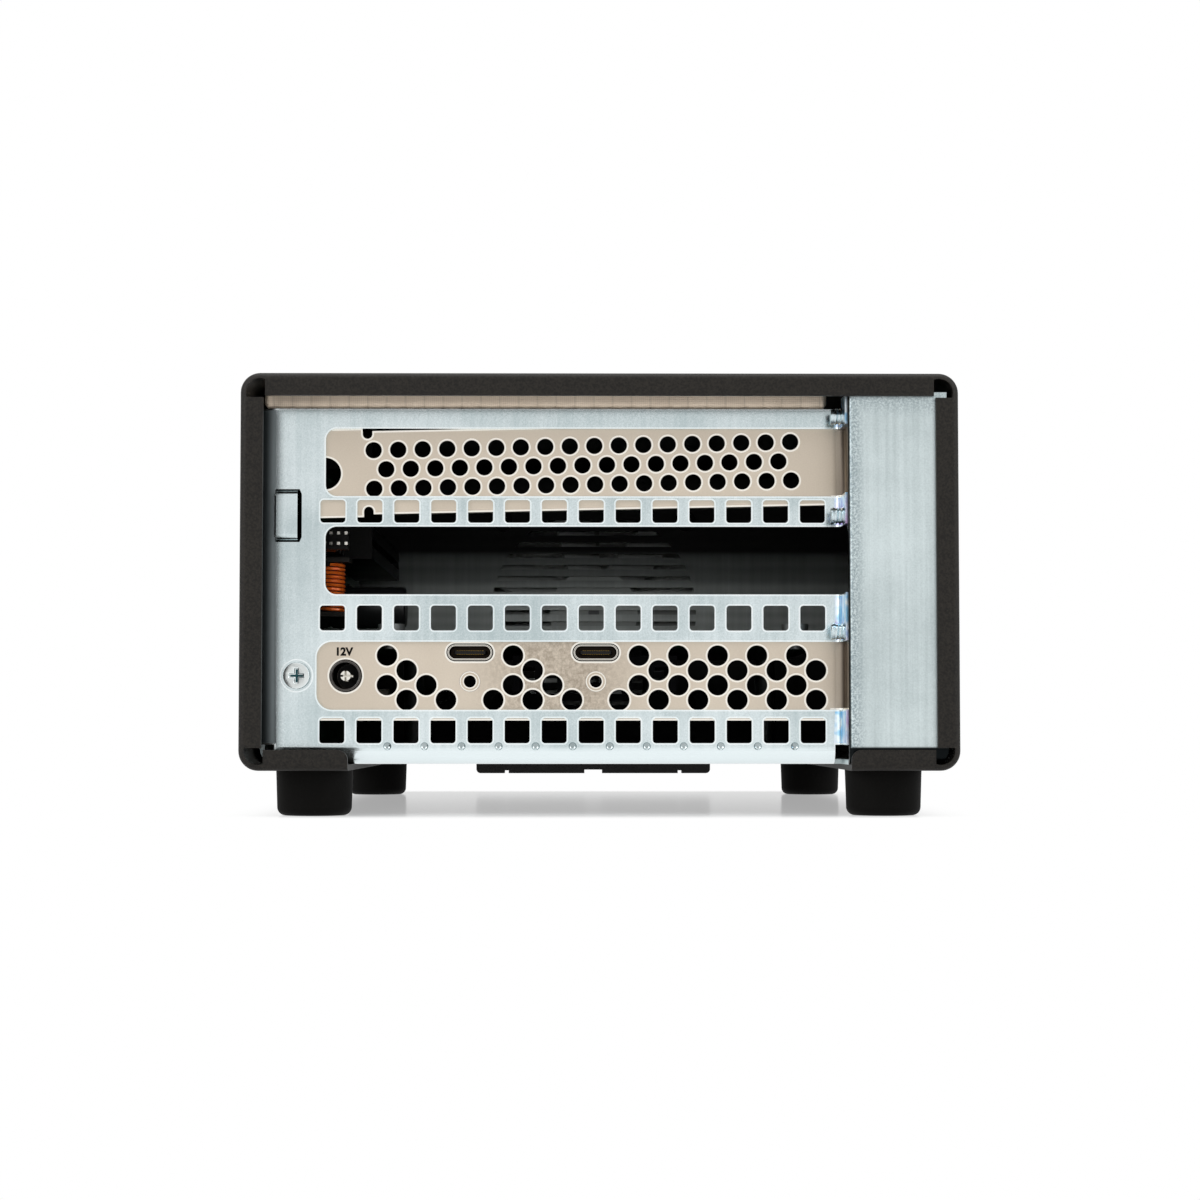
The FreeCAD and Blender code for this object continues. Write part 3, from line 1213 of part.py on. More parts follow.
def make_fan():
    """Square fan: frame with a motor plate on four struts, sleeve bearing, rotor and shaft."""
    half = "fan_side / 2"
    sides = (f"-{half}", half)
    levels = (f"fan_height - {half}", f"fan_height + {half}")
    box = block("fan_box", sides, ("fan_rear", "fan_front"), levels)
    frame = rounded("fan_box_rounded", box, *corner_rounds("y", sides, levels, "fan_corner"))
    through = (f"fan_rear - {PAST}", f"fan_front + {PAST}")
    mouth = rod("fan_mouth_rod", "y", ("0", "fan_height"), through, "fan_mouth / 2")
    holes = [rod(f"fan_hole_{name}", "y", spot, through, "screw_hole") for name, spot in FAN_CORNERS.items()]
    ring = cut("fan_ring", frame, mouth, *holes)
    plate_y = ("fan_front - fan_boss_depth", "fan_front")
    boss = rod("fan_boss_rod", "y", ("0", "fan_height"), plate_y, "fan_boss / 2")
    reach = "(fan_mouth + fan_side) / 4"
    level_strut = block("fan_strut_level", (f"-{reach}", reach), plate_y,
                        ("fan_height - fan_strut / 2", "fan_height + fan_strut / 2"))
    upright_strut = block("fan_strut_upright", ("-fan_strut / 2", "fan_strut / 2"), plate_y,
                          (f"fan_height - {reach}", f"fan_height + {reach}"))
    past_plate = (f"{plate_y[0]} - {PAST}", f"{plate_y[1]} + {PAST}")
    seat = rod("fan_bearing_seat", "y", ("0", "fan_height"), past_plate, "bearing_diameter / 2 + shaft_fit")
    web = fuse("fan_web", ring, boss, level_strut, upright_strut)
    keep("fan_frame", cut("fan_frame_finished", web, seat))

    sleeve = rod("bearing_rod", "y", ("0", "fan_height"), plate_y, "bearing_diameter / 2")
    bore = rod("bearing_bore", "y", ("0", "fan_height"), past_plate,
               "shaft_diameter / 2 + bearing_clearance")
    keep("fan_bearing", cut("bearing_finished", sleeve, bore))

    rotor = turned("fan_rotor_body", [
        ("shaft_diameter / 2 + shaft_fit", "0"), ("rotor_hub / 2", "0"), ("rotor_hub / 2", "rotor_depth"),
        ("shaft_diameter / 2 + shaft_fit", "rotor_depth"),
    ])
    sections = []
    for name, radius, pitch in (("root", "rotor_hub / 2 - blade_thickness", "blade_pitch"),
                                ("tip", "fan_mouth / 2 - rotor_tip_gap", "blade_tip_pitch")):
        along = f"cos({pitch} * 1 deg)"
        rise = f"sin({pitch} * 1 deg)"
        ends = ((-1, -1), (1, -1), (1, 1), (-1, 1))
        corners = [
            (f"({u}) * blade_chord / 2 * {along} - ({v}) * blade_thickness / 2 * {rise}",
             f"rotor_depth / 2 + ({u}) * blade_chord / 2 * {rise} + ({v}) * blade_thickness / 2 * {along}")
            for u, v in ends
        ]
        section = outline(rotor, f"blade_{name}", "YZ_Plane", corners)
        bind(section, {"AttachmentOffset.Base.z": radius})
        sections.append(section)
    blade = rotor.newObject("PartDesign::AdditiveLoft", "blade")
    blade.Profile = sections[0]
    blade.Sections = [sections[1]]
    blade.Ruled = True
    ring_of_blades = rotor.newObject("PartDesign::PolarPattern", "blades")
    ring_of_blades.Originals = [blade]
    ring_of_blades.Axis = (plane_of(rotor, "Z_Axis"), [""])
    ring_of_blades.Angle = 360
    bind(ring_of_blades, {"Occurrences": "fan_blades"})
    rotor.Tip = ring_of_blades
    keep("fan_rotor", set_down(rotor, "0", "fan_rear + rotor_setback", "fan_height", TURNS["y"]))

    shaft = rod("fan_shaft_rod", "y", ("0", "fan_height"), ("fan_rear + rotor_setback", "fan_front"),
                "shaft_diameter / 2")
    keep("fan_shaft", shaft)
    screws = [screw(f"fan_screw_{name}", "y", spot, "bulkhead", -1, "fan_depth / 2")
              for name, spot in FAN_CORNERS.items()]
    keep("fan_screws", group("fan_screws_group", screws))


def make_bezel():
    """Moulded front frame with a skirt that enters the cover and a finger lip below."""
    blank = block("bezel_blank", ("-side", "side"), ("cover_front", "front"), ("foot_height", "top"))
    sleeve = rounded("bezel_sleeve", blank,
                     *corner_rounds("y", ("-side", "side"), ("foot_height", "top"), "cover_corner"))
    doc.recompute()
    front_loop = [
        (index, number("bezel_round"), number("bezel_round"))
        for index, edge in enumerate(sleeve.Shape.Edges, start=1)
        if abs(edge.BoundBox.YMin - number("front")) < NEAR
    ]
    face = doc.addObject("Part::Fillet", "bezel_face")
    face.Base = sleeve
    face.Edges = front_loop

    skirt_side = "inner_side - skirt_clearance"
    skirt_low = "cage_floor + skirt_clearance"
    skirt_high = "inner_top - skirt_clearance"
    skirt_box = block("skirt_box", (f"-({skirt_side})", skirt_side),
                      ("cover_front - skirt_depth", f"cover_front + {PAST}"), (skirt_low, skirt_high))
    skirt = rounded("skirt", skirt_box,
                    *corner_rounds("y", (f"-({skirt_side})", skirt_side), (skirt_low, skirt_high),
                                   "cover_corner - cover_sheet"))
    hollow = block("bezel_hollow", (f"skirt_wall - ({skirt_side})", f"{skirt_side} - skirt_wall"),
                   (f"cover_front - skirt_depth - {PAST}", "bezel_inner"),
                   (f"{skirt_low} + skirt_wall", f"{skirt_high} - skirt_wall"))
    middle = "(foot_height + top) / 2"
    window_x = ("-grille_side", "grille_side")
    window_z = ("grille_low", "grille_high")
    window_box = block("bezel_window_box", window_x, (f"bezel_inner - {PAST}", f"front + {PAST}"), window_z)
    window = rounded("bezel_window", window_box, *corner_rounds("y", window_x, window_z, "grille_corner"))
    lamp_hole = rod("lamp_hole", "y", LAMP, (f"bezel_inner - {PAST}", f"front + {PAST}"),
                    "lamp_diameter / 2 + hole_gap")

    lip_x = ("-lip_half_width", "lip_half_width")
    lip_box = block("lip_box", lip_x, ("cover_front", "front - bezel_round"),
                    ("lip_bottom", f"foot_height + {PAST}"))
    lip = rounded("lip", lip_box, *corner_rounds("y", lip_x, ("lip_bottom",), "lip_round"))
    arch = block("lip_arch", ("-lip_arch_half_width", "lip_arch_half_width"),
                 (f"cover_front - {PAST}", f"front + {PAST}"),
                 (f"lip_bottom - {PAST}", "foot_height - lip_arch_drop"))
    notches = [block(f"lip_notch_{name}", (f"{x} - lip_notch_width / 2", f"{x} + lip_notch_width / 2"),
                     (f"cover_front - {PAST}", f"front + {PAST}"),
                     (f"lip_bottom - {PAST}", "foot_height - lip_notch_drop"))
               for name, x in (("left", "-lip_notch_place"), ("right", "lip_notch_place"))]
    shell = cut("bezel_shell", fuse("bezel_and_skirt", face, skirt), hollow, window, lamp_hole)
    shaped_lip = cut("lip_shaped", lip, arch, *notches)
    keep("front_bezel", fuse("bezel_finished", shell, shaped_lip))

    sheet_x = ("-grille_side - grille_margin", "grille_side + grille_margin")
    sheet_z = ("grille_low - grille_margin", "grille_high + grille_margin")
    grille_y = ("bezel_inner - grille_sheet", "bezel_inner")
    plate = block("grille_plate", sheet_x, grille_y, sheet_z)
    columns = int(number("(grille_side - grille_hole / 2) / grille_pitch"))
    rows = int(number("(grille_high - grille_low - grille_hole) / grille_row_pitch / 2"))
    holes = []
    for row in range(-rows, rows + 1):
        shift = 0.5 * (row % 2)
        for column in range(-columns, columns + 1 - row % 2):
            spot = (f"({column} + {shift}) * grille_pitch", f"{middle} + ({row}) * grille_row_pitch")
            holes.append(rod(f"grille_hole_{row + rows}_{column + columns}", "y", spot,
                             (f"{grille_y[0]} - {PAST}", f"{grille_y[1]} + {PAST}"), "grille_hole / 2"))
    keep("front_grille", cut("grille_finished", plate, group("grille_holes", holes)))

    pad = block("filter_pad", sheet_x, (f"{grille_y[0]} - filter_thickness", grille_y[0]), sheet_z)
    keep("dust_filter", rounded("filter_finished", pad,
                                *corner_rounds("y", sheet_x, sheet_z, "grille_corner")))

    lens = rod("lamp_lens", "y", LAMP, ("bezel_inner", "front"), "lamp_diameter / 2")
    collar = rod("lamp_collar", "y", LAMP, ("bezel_inner - lamp_flange", "bezel_inner"),
                 "lamp_diameter / 2 + lamp_flange")
    keep("light_pipe", fuse("lamp_finished", lens, collar))


def make_feet():
    """Four rubber feet, each screwed into the cover, the front pair through it into the cage."""
    screws = []
    for place, (x, y) in FOOT_PLACES.items():
        foot = turned(f"foot_{place}_body", [
            ("screw_hole", "foot_seat"), ("foot_recess / 2", "foot_seat"), ("foot_recess / 2", "0"),
            ("foot_bottom / 2", "0"), ("foot_top / 2", "foot_height"), ("screw_hole", "foot_height"),
        ])
        doc.recompute()
        turned_solid = foot.Tip
        rim = next(
            f"Edge{index}" for index, edge in enumerate(turned_solid.Shape.Edges, start=1)
            if abs(edge.BoundBox.ZMax) < NEAR
            and abs(edge.BoundBox.XMax - number("foot_bottom / 2")) < NEAR
            and abs(edge.BoundBox.XMin + number("foot_bottom / 2")) < NEAR
        )
        soft_edge = foot.newObject("PartDesign::Fillet", f"foot_{place}_edge")
        soft_edge.Base = (turned_solid, [rim])
        bind(soft_edge, {"Radius": "foot_round"})
        foot.Tip = soft_edge
        keep(f"foot_{place}", set_down(foot, x, y, "0"))
        end = "base_top" if place in CAGE_FEET else "cage_floor"
        screws.append(screw(f"foot_screw_{place}", "z", (x, y), "foot_seat", -1, f"{end} - foot_seat"))
    keep("foot_screws", group("foot_screws_group", screws))


def make_panel_screws():
    """Screw of the connector bracket, and the three bracket screws on the ledge."""
    keep("rear_screw", screw("rear_screw", "y", ("left + rear_screw_inset", "lower_slot"),
                             "panel + rear_screw_sink", -1, "2 * cage_sheet + bracket_sheet",
                             "rear_screw_head", "rear_screw_head_height"))
    seats = {
        "upper_slot": "ledge + bracket_sheet + seat_gap",
        "middle_slot": "ledge",
        "lower_slot": "ledge + bracket_sheet",
    }
    screws = []
    for slot, seat in seats.items():
        length = f"{seat} - (ledge - cage_sheet - slot_screw_tip)"
        screws.append(screw(f"slot_screw_{slot}", "x", ("tab_screw_place", f"{slot} + tab_screw_rise"),
                            seat, 1, length, "slot_screw_head"))
    keep("slot_screws", group("slot_screws_group", screws))


def make_fan_lead():
    """Fan lead from the frame through the bulkhead to a plug on the backplane's header."""
    lead_x, lead_z = (number(formula) for formula in LEAD_HOLE)
    plug_y = "backplane_front - header_inset"
    centre = "backplane_bottom + header_rise"
    level = number(centre)
    bend = number("lead_bend")
    start = FreeCAD.Vector(number("-fan_side / 2"), number("fan_rear + fan_depth / 2"), lead_z)
    stop = FreeCAD.Vector(number("backplane_face + header_height + plug_height"), number(plug_y), level)
    route = [
        start,
        FreeCAD.Vector(lead_x, start.y, lead_z),
        FreeCAD.Vector(lead_x, stop.y, level),
        stop,
    ]
    edges = []
    last = route[0]
    for before, corner, after in zip(route, route[1:], route[2:]):
        inward = (corner - before).normalize()
        outward = (after - corner).normalize()
        entry = corner - inward * bend
        leave = corner + outward * bend
        half_turn = inward.getAngle(outward) / 2
        arc_radius = bend / math.tan(half_turn)
        middle = corner + (outward - inward).normalize() * arc_radius * (1 / math.cos(half_turn) - 1)
        edges.append(Part.LineSegment(last, entry).toShape())
        edges.append(Part.Arc(entry, middle, leave).toShape())
        last = leave
    edges.append(Part.LineSegment(last, route[-1]).toShape())
    path = Part.Wire(edges)
    ring = Part.Wire([Part.Circle(start, route[1] - start, number("fan_lead / 2")).toShape()])
    lead = doc.addObject("Part::Feature", "fan_lead_tube")
    lead.Shape = path.makePipeShell([ring], True, True)
    keep("fan_cable", lead)

    across = (f"{plug_y} - header_width / 2", f"{plug_y} + header_width / 2")
    upright = (f"{centre} - header_depth / 2", f"{centre} + header_depth / 2")
    keep("fan_header", block("fan_header_box", ("backplane_face", "backplane_face + header_height"),
                             across, upright))
    plug = block("fan_plug_box", ("backplane_face + header_height",
                                  "backplane_face + header_height + plug_height"), across, upright)
    keep("fan_plug", plug)


make_cover()
make_card_cage()
make_rear_panel()
make_gasket()
make_upper_slot_cover()
make_io_bracket()
make_power_jack()
make_ports()
make_lock_nuts()
make_interface_board()
make_controller()
make_backplane()
make_power_parts()
make_bulkhead()
make_fan()
make_bezel()
make_feet()
make_panel_screws()
make_fan_lead()
doc.recompute()

failed = [obj.Name for obj in doc.Objects if {"Invalid", "Error"} & set(obj.State)]
if failed:
    raise RuntimeError(f"these objects failed: {failed}")
for part in sub_parts:
    if part.Shape.isNull() or not part.Shape.isValid():
        raise RuntimeError(f"{part.Label} has no valid shape")

os.makedirs("parts", exist_ok=True)
for part in sub_parts:
    part.Shape.exportStep(f"parts/{part.Label}.step")
    print(f"{part.Label}: {len(part.Shape.Solids)} solid(s), {part.Shape.Volume / 1000:.2f} cm3")
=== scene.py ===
# %% [markdown]
# # A small chassis for plug-in cards
# The object is a black sheet sleeve on four rubber feet. A plated card cage sits inside it, set
# back from a folded rim, with three card slots in its rear panel. The solid model gives every
# size, so this file only loads it, dresses it and lights it as in the photograph.

# %% Load the frame
import bmesh
import bpy
from math import cos, hypot, pi, radians, sin
from mathutils import Euler, Matrix, Vector
from mathutils.geometry import intersect_point_line


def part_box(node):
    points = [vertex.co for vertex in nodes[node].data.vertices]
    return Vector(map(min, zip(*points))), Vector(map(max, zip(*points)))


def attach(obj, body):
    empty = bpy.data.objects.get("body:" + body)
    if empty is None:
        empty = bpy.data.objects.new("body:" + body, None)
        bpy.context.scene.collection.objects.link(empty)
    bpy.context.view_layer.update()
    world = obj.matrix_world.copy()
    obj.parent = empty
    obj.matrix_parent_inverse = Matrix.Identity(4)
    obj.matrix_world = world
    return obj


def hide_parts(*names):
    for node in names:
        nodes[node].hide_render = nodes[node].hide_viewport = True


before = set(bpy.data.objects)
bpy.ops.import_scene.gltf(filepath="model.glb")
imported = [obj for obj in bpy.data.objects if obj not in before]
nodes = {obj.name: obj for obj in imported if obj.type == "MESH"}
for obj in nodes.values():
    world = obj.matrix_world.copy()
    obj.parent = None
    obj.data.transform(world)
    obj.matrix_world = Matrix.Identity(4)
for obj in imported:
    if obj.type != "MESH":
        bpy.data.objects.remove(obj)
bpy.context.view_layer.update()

MM = 0.001


def mm(*sizes):
    """Sizes in millimetres as a tuple in metres."""
    return tuple(size * MM for size in sizes)


scene = bpy.context.scene
scene.view_settings.view_transform = "Standard"

# %% [markdown]
# ## Camera
# The photograph was taken from close to the table, straight at the card side: the lines that run
# away from us meet a little left of the middle and well below it. That point gives the camera's
# tilt, and the known distance between two card slots gives how far away it stands.

# %% Put the camera where the photograph was taken
CAMERA_PLACE = Vector((-4.6, -629.0, 17.94)) * MM
CAMERA_TILT = radians(90 + 2.83)
CAMERA_TURN = radians(-0.51)
LENS = 77.6


def place_camera():
    """A camera low in front of the rear panel."""
    data = bpy.data.cameras.new("rear_view")
    data.lens = LENS
    data.sensor_width = 36.0
    data.clip_start = 0.01
    camera = bpy.data.objects.new("rear_view", data)
    camera.location = CAMERA_PLACE
    camera.rotation_euler = Euler((CAMERA_TILT, 0.0, CAMERA_TURN))
    scene.collection.objects.link(camera)
    scene.camera = camera
    return camera


camera = place_camera()
print("camera at", [round(v, 3) for v in camera.location])

# %% [markdown]
# ## Writing node sums as Python
# A material or a Geometry Nodes tree is a graph. Adding its Math nodes one at a time is slow to
# read, so a small class wraps one socket and lets sums be written as sums. Its node method adds any
# other node: the settings come first, because they decide which sockets the node has.


# %% A socket that can be summed
class Field:
    """One socket of a tree. Sums of fields and numbers add Math nodes."""

    def __init__(self, tree, socket=None):
        self.tree = tree
        self.socket = socket

    def node(self, kind, settings=None, sockets=None, out=0):
        """Add a node: its settings, then the values or links of its sockets, and one output."""
        made = self.tree.nodes.new(kind)
        for name, value in (settings or {}).items():
            if name == "stops":
                ramp = made.color_ramp.elements
                for element, (place, shade) in zip(ramp, value):
                    element.position = place
                    element.color = shade
                for place, shade in value[len(ramp):]:
                    ramp.new(place).color = shade
            else:
                setattr(made, name, value)
        for name, value in (sockets or {}).items():
            if isinstance(value, Field):
                self.tree.links.new(value.socket, made.inputs[name])
            else:
                made.inputs[name].default_value = value
        return Field(self.tree, made.outputs[out])

    def sum(self, operation, first, second):
        return self.node("ShaderNodeMath", {"operation": operation}, {0: first, 1: second})

    def __add__(self, other):
        return self.sum("ADD", self, other)

    def __radd__(self, other):
        return self.sum("ADD", other, self)

    def __sub__(self, other):
        return self.sum("SUBTRACT", self, other)

    def __rsub__(self, other):
        return self.sum("SUBTRACT", other, self)

    def __mul__(self, other):
        return self.sum("MULTIPLY", self, other)

    def __rmul__(self, other):
        return self.sum("MULTIPLY", other, self)

    def maximum(self, other):
        return self.sum("MAXIMUM", self, other)

    def wave(self, pitch):
        """A sine from -1 to 1 that repeats after one pitch."""
        return self.sum("SINE", self * (2 * pi / pitch), 0.0)

    def smooth(self, low, high):
        """0 below low, 1 above high, with a soft step between."""
        return self.node("ShaderNodeMapRange", {"interpolation_type": "SMOOTHSTEP"},
                         {"Value": self, "From Min": low, "From Max": high})


print("a field knows:", [name for name in vars(Field) if not name.startswith("_")])

# %% [markdown]
# ## Finishes
# Every finish starts from the object's own coordinates in metres, so a grain size is written as
# it would be measured. Colours are written as they look on a screen and turned into light values.

# %% Helpers for finishes
finishes = {}


def shade(red, green, blue):
    """A screen colour from 0 to 255 as light values."""
    def light(value):
        value = value / 255
        return value / 12.92 if value <= 0.04045 else ((value + 0.055) / 1.055) ** 2.4
    return (light(red), light(green), light(blue), 1.0)


def new_finish(name):
    """An empty material: its shader node and the place on the object."""
    material = bpy.data.materials.new(name)
    material.use_nodes = True
    shader = material.node_tree.nodes["Principled BSDF"]
    place = Field(material.node_tree).node("ShaderNodeTexCoord", out="Object")
    finishes[name] = material
    return shader, place


def coat(shader, sockets):
    """Set or link sockets of a finish's shader."""
    for name, value in sockets.items():
        if isinstance(value, Field):
            value.tree.links.new(value.socket, shader.inputs[name])
        else:
            shader.inputs[name].default_value = value


def stretched(place, x, y, z):
    """The place with each axis scaled, so that a noise draws out into streaks."""
    return place.node("ShaderNodeMapping", {}, {"Vector": place, "Scale": (x, y, z)})


def grain(place, scale, detail=2.0, roughness=0.5):
    """Cloudy noise from 0 to 1 with features of about 1 / scale metres."""
    return place.node("ShaderNodeTexNoise", {}, {"Vector": place, "Scale": scale, "Detail": detail,
                                                 "Roughness": roughness}, out="Fac")


def blended(factor, first, second):
    """A colour between two colours."""
    return factor.node("ShaderNodeMix", {"data_type": "RGBA"},
                       {"Factor": factor, 6: first, 7: second}, out=2)


def bumped(height, depth, strength=1.0):
    """A normal that follows a height of the given depth in metres."""
    return height.node("ShaderNodeBump", {}, {"Height": height, "Distance": depth,
                                              "Strength": strength}, out="Normal")


def axis_of(place, name):
    """One coordinate of the place, in metres."""
    return place.node("ShaderNodeSeparateXYZ", {}, {0: place}, out=name)


print("helpers for finishes are ready")

# %% [markdown]
# ## Black powder coat
# The sleeve is painted with baked powder, which flows into a fine orange peel. A fine noise gives
# the peel as a bump, and a slower one lets its gloss drift a little, as a hand-handled cover does.

# %% Powder coat of the cover and paint of the grille
def make_powder_coat(name, dark, light, gloss):
    """Baked powder paint: fine peel, slow drift of gloss."""
    shader, place = new_finish(name)
    peel = grain(place, 2300.0, 3.0, 0.6)
    drift = grain(place, 45.0, 3.0)
    coat(shader, {
        "Specular IOR Level": 0.2,
        "Base Color": blended(0.65 * peel.smooth(0.32, 0.68) + 0.35 * drift, dark, light),
        "Roughness": gloss + 0.12 * drift + 0.10 * peel,
        "Normal": bumped(peel, 0.00006, 0.55),
    })


make_powder_coat("black powder coat", shade(8, 7, 6), shade(34, 31, 27), 0.40)
make_powder_coat("black grille paint", shade(17, 16, 16), shade(32, 31, 30), 0.42)
print("painted finishes:", len(finishes))

# %% [markdown]
# ## Zinc-plated sheet
# Zinc plating on rolled steel is bluish and silky. It has fine spangles that glitter, long streaks
# along the rolling direction, and a slow cloudiness from the bath. Three noises of very different
# sizes give these, and only colour, roughness and bump follow them. Soft steps of the coordinates
# mark where light and shade are painted into the colour: a painted highlight on the bend at the foot,
# painted shade in the dimples above it, and a painted dark reflection on the bend at the left, whose
# very edge is a matt, lighter grey with painted shade towards its far end.

# %% Zinc plating of the rear panel
FOOT_BEND_Z = mm(12.8, 14.4)
DIMPLE_FLOOR_Y = mm(-95.96, -95.80)
DIMPLE_LOW_Z = mm(13.1, 13.4)
DIMPLE_HIGH_Z = mm(15.1, 15.4)
LEFT_SHADE_X = mm(-68.0, -64.8)
LEFT_MATT_BEND_X = mm(-67.1, -66.2)
LEFT_MATT_X = mm(-69.0, -67.1)


def zinc_fields(place):
    """Upright rolling streaks, spangles and bath clouds of a plated sheet."""
    streaks = grain(stretched(place, 800.0, 800.0, 14.0), 1.0, 3.0, 0.6)
    return streaks, grain(place, 3400.0, 2.0, 0.6), grain(place, 60.0, 3.0, 0.55)


def make_zinc(name, dim, bright, gloss, streak_share=0.3):
    """Plated sheet with spangles, rolling streaks and soft clouds; returns its tone and colour too."""
    shader, place = new_finish(name)
    streaks, spangle, clouds = zinc_fields(place)
    tone = streak_share * streaks + 0.25 * spangle + (0.75 - streak_share) * clouds
    sheet = blended(tone.smooth(0.3, 0.7), dim, bright)
    coat(shader, {
        "Metallic": 1.0,
        "Base Color": sheet,
        "Roughness": gloss + 0.16 * clouds + 0.10 * streaks - 0.10 * spangle,
        "Normal": bumped(spangle + 0.5 * streaks, 0.00002, 0.25),
    })
    return shader, place, tone, sheet


def make_panel_zinc():
    """Panel sheet: painted highlight on the bend at the foot, painted shade in the dimples above it, and on the
    bend at the left a painted dark reflection that turns matt and lighter at the very edge.
    """
    shader, place, _, sheet = make_zinc("zinc sheet", shade(190, 204, 206), shade(230, 240, 242), 0.1, 0.22)
    across, depth, height = (axis_of(place, name) for name in "XYZ")
    # Painted highlight: the bend at the foot is painted lighter, as the reflection of the bright floor.
    foot = 1.0 - height.smooth(*FOOT_BEND_Z)
    highlighted = blended(foot, sheet, shade(236, 246, 248))
    # Painted shade in the pressed dimples above the foot and on their walls.
    beside = height.smooth(*DIMPLE_LOW_Z) * (1.0 - height.smooth(*DIMPLE_HIGH_Z))
    dimple = depth.smooth(*DIMPLE_FLOOR_Y) * beside
    dimple_shaded = blended(0.5 * dimple, highlighted, shade(84, 96, 98))
    # Painted dark reflection of the cover's side on the bend at the left.
    bend = 1.0 - across.smooth(*LEFT_SHADE_X)
    shaded = blended(0.85 * bend, dimple_shaded, shade(30, 35, 36))
    # At the very edge of that bend the sheet is made matt and painted a lighter grey as light, painted darker
    # towards the far end as shade.
    painted_matt_bend = 1.0 - across.smooth(*LEFT_MATT_BEND_X)
    bend_shading = blended(across.smooth(*LEFT_MATT_X), shade(64, 70, 72), shade(128, 136, 138))
    coat(shader, {
        "Base Color": blended(painted_matt_bend, shaded, bend_shading),
        "Metallic": 1.0 - 0.85 * painted_matt_bend,
    })


make_panel_zinc()
# A bright zinc for the painted highlights along punched edges.
make_zinc("zinc edge highlight", shade(232, 244, 246), shade(250, 255, 255), 0.16)
print("panel finishes are ready")

# %% [markdown]
# ## Cage, tabs and bulkhead
# The cage's column stands right behind the rim. Its rolled left edge glitters, and the very edge lies in
# the shade of the slot, which is painted on. The bottom corner by the rim and the cage's floor inside are
# painted dark as shade. The bent tabs have kept the colours of their passivation, and the bulkhead far
# inside is primed grey, with painted black shade above and below the band that the low lamp lights and
# painted shade at the band's top.

# %% Zinc of the cage, its ledge tabs and the bulkhead
COLUMN_Y = mm(-106.6, -106.0)
RIM_Y = mm(-106.0, -105.0)
ROLLED_EDGE_X = mm(51.0, 54.5)
ROLLED_TOP_Z = mm(79.5, 84.5)
SLOT_SHADE_X = mm(50.45, 50.9)
CORNER_Z = mm(13.8, 14.3)
FLOOR_SHADE_Y = mm(-88.0, -86.0)
FLOOR_SHADE_Z = mm(12.0, 12.5)
BAND_LOW_Z = mm(38.0, 41.0)
BAND_HIGH_Z = mm(64.0, 66.5)
BAND_FADE_Z = mm(54.0, 60.0)
RIB_PITCH = 3.1 * MM


def make_cage_zinc():
    """Column and base: rolled edge with coarse sparkle, painted shade at the slot's edge and in the bottom
    corner, and the floor inside painted black as shade.
    """
    shader, place, tone, sheet = make_zinc("cage zinc", shade(180, 192, 193), shade(216, 227, 228), 0.28, 0.36)
    across, depth, height = (axis_of(place, name) for name in "XYZ")
    sparkle = grain(place, 2300.0, 3.0, 0.7)
    on_column = 1.0 - depth.smooth(*COLUMN_Y)
    edge = (1.0 - across.smooth(*ROLLED_EDGE_X)) * on_column
    rolled = edge.maximum(0.7 * (height.smooth(*ROLLED_TOP_Z) * on_column))
    speckled = blended(rolled * sparkle.smooth(0.40, 0.60), sheet, shade(146, 160, 165))
    by_rim = 1.0 - depth.smooth(*RIM_Y)
    shaded = (1.0 - across.smooth(*SLOT_SHADE_X)) * by_rim
    # Painted shade in the bottom corner of the column by the rim.
    corner = (1.0 - height.smooth(*CORNER_Z)) * by_rim
    # Painted shade: the cage's floor inside is painted black.
    floor_shade = depth.smooth(*FLOOR_SHADE_Y) * (1.0 - height.smooth(*FLOOR_SHADE_Z))
    coat(shader, {
        "Base Color": blended(shaded.maximum(floor_shade).maximum(corner), speckled, shade(20, 23, 24)),
        "Metallic": 1.0 - floor_shade,
        "Normal": bumped(tone + 1.4 * rolled * sparkle, 0.00004, 0.6),
    })


def make_tinted_zinc():
    """Passivated zinc of the bent tabs, with blue and violet interference tints."""
    shader, place = new_finish("tinted zinc")
    streaks, spangle, clouds = zinc_fields(place)
    drift = grain(place, 420.0, 2.0, 0.5)
    cool = blended(drift.smooth(0.38, 0.62), shade(150, 206, 240), shade(232, 244, 250))
    coat(shader, {
        "Metallic": 1.0,
        "Base Color": blended(clouds.smooth(0.50, 0.66), cool, shade(206, 182, 226)),
        "Roughness": 0.24 + 0.12 * streaks,
        "Normal": bumped(spangle + streaks, 0.00003, 0.5),
    })


def make_inner_bulkhead():
    """Grey primed band across the bulkhead with faint rolled ribs, painted darker at its top, and painted black
    shade above and below it.
    """
    shader, place = new_finish("inner bulkhead")
    streaks, spangle, clouds = zinc_fields(place)
    height = axis_of(place, "Z")
    ribs = height.wave(RIB_PITCH)
    primer = blended(0.5 * streaks + 0.4 * clouds + 0.10 * ribs, shade(134, 140, 138), shade(206, 212, 210))
    # Painted shade: outside the band that the low lamp lights through the slot the bulkhead is painted black,
    # and the band's top is painted darker.
    band = height.smooth(*BAND_LOW_Z) * (1.0 - height.smooth(*BAND_HIGH_Z))
    bulkhead_shade = 1.0 - band * (1.0 - 0.6 * height.smooth(*BAND_FADE_Z))
    coat(shader, {
        "Base Color": blended(bulkhead_shade, primer, shade(9, 9, 9)),
        "Roughness": 0.5 + 0.16 * clouds + 0.05 * spangle,
        "Normal": bumped(ribs, 0.00006, 0.4),
    })


make_cage_zinc()
make_tinted_zinc()
make_inner_bulkhead()
print("plated finishes:", [name for name in finishes if "zinc" in name])

# %% [markdown]
# ## Nickel-plated brackets
# The two brackets have a warm, satin nickel with a very fine tumbled grain. Their punched holes
# have rounded rims that catch the light, which become narrow rings of painted highlight further on.

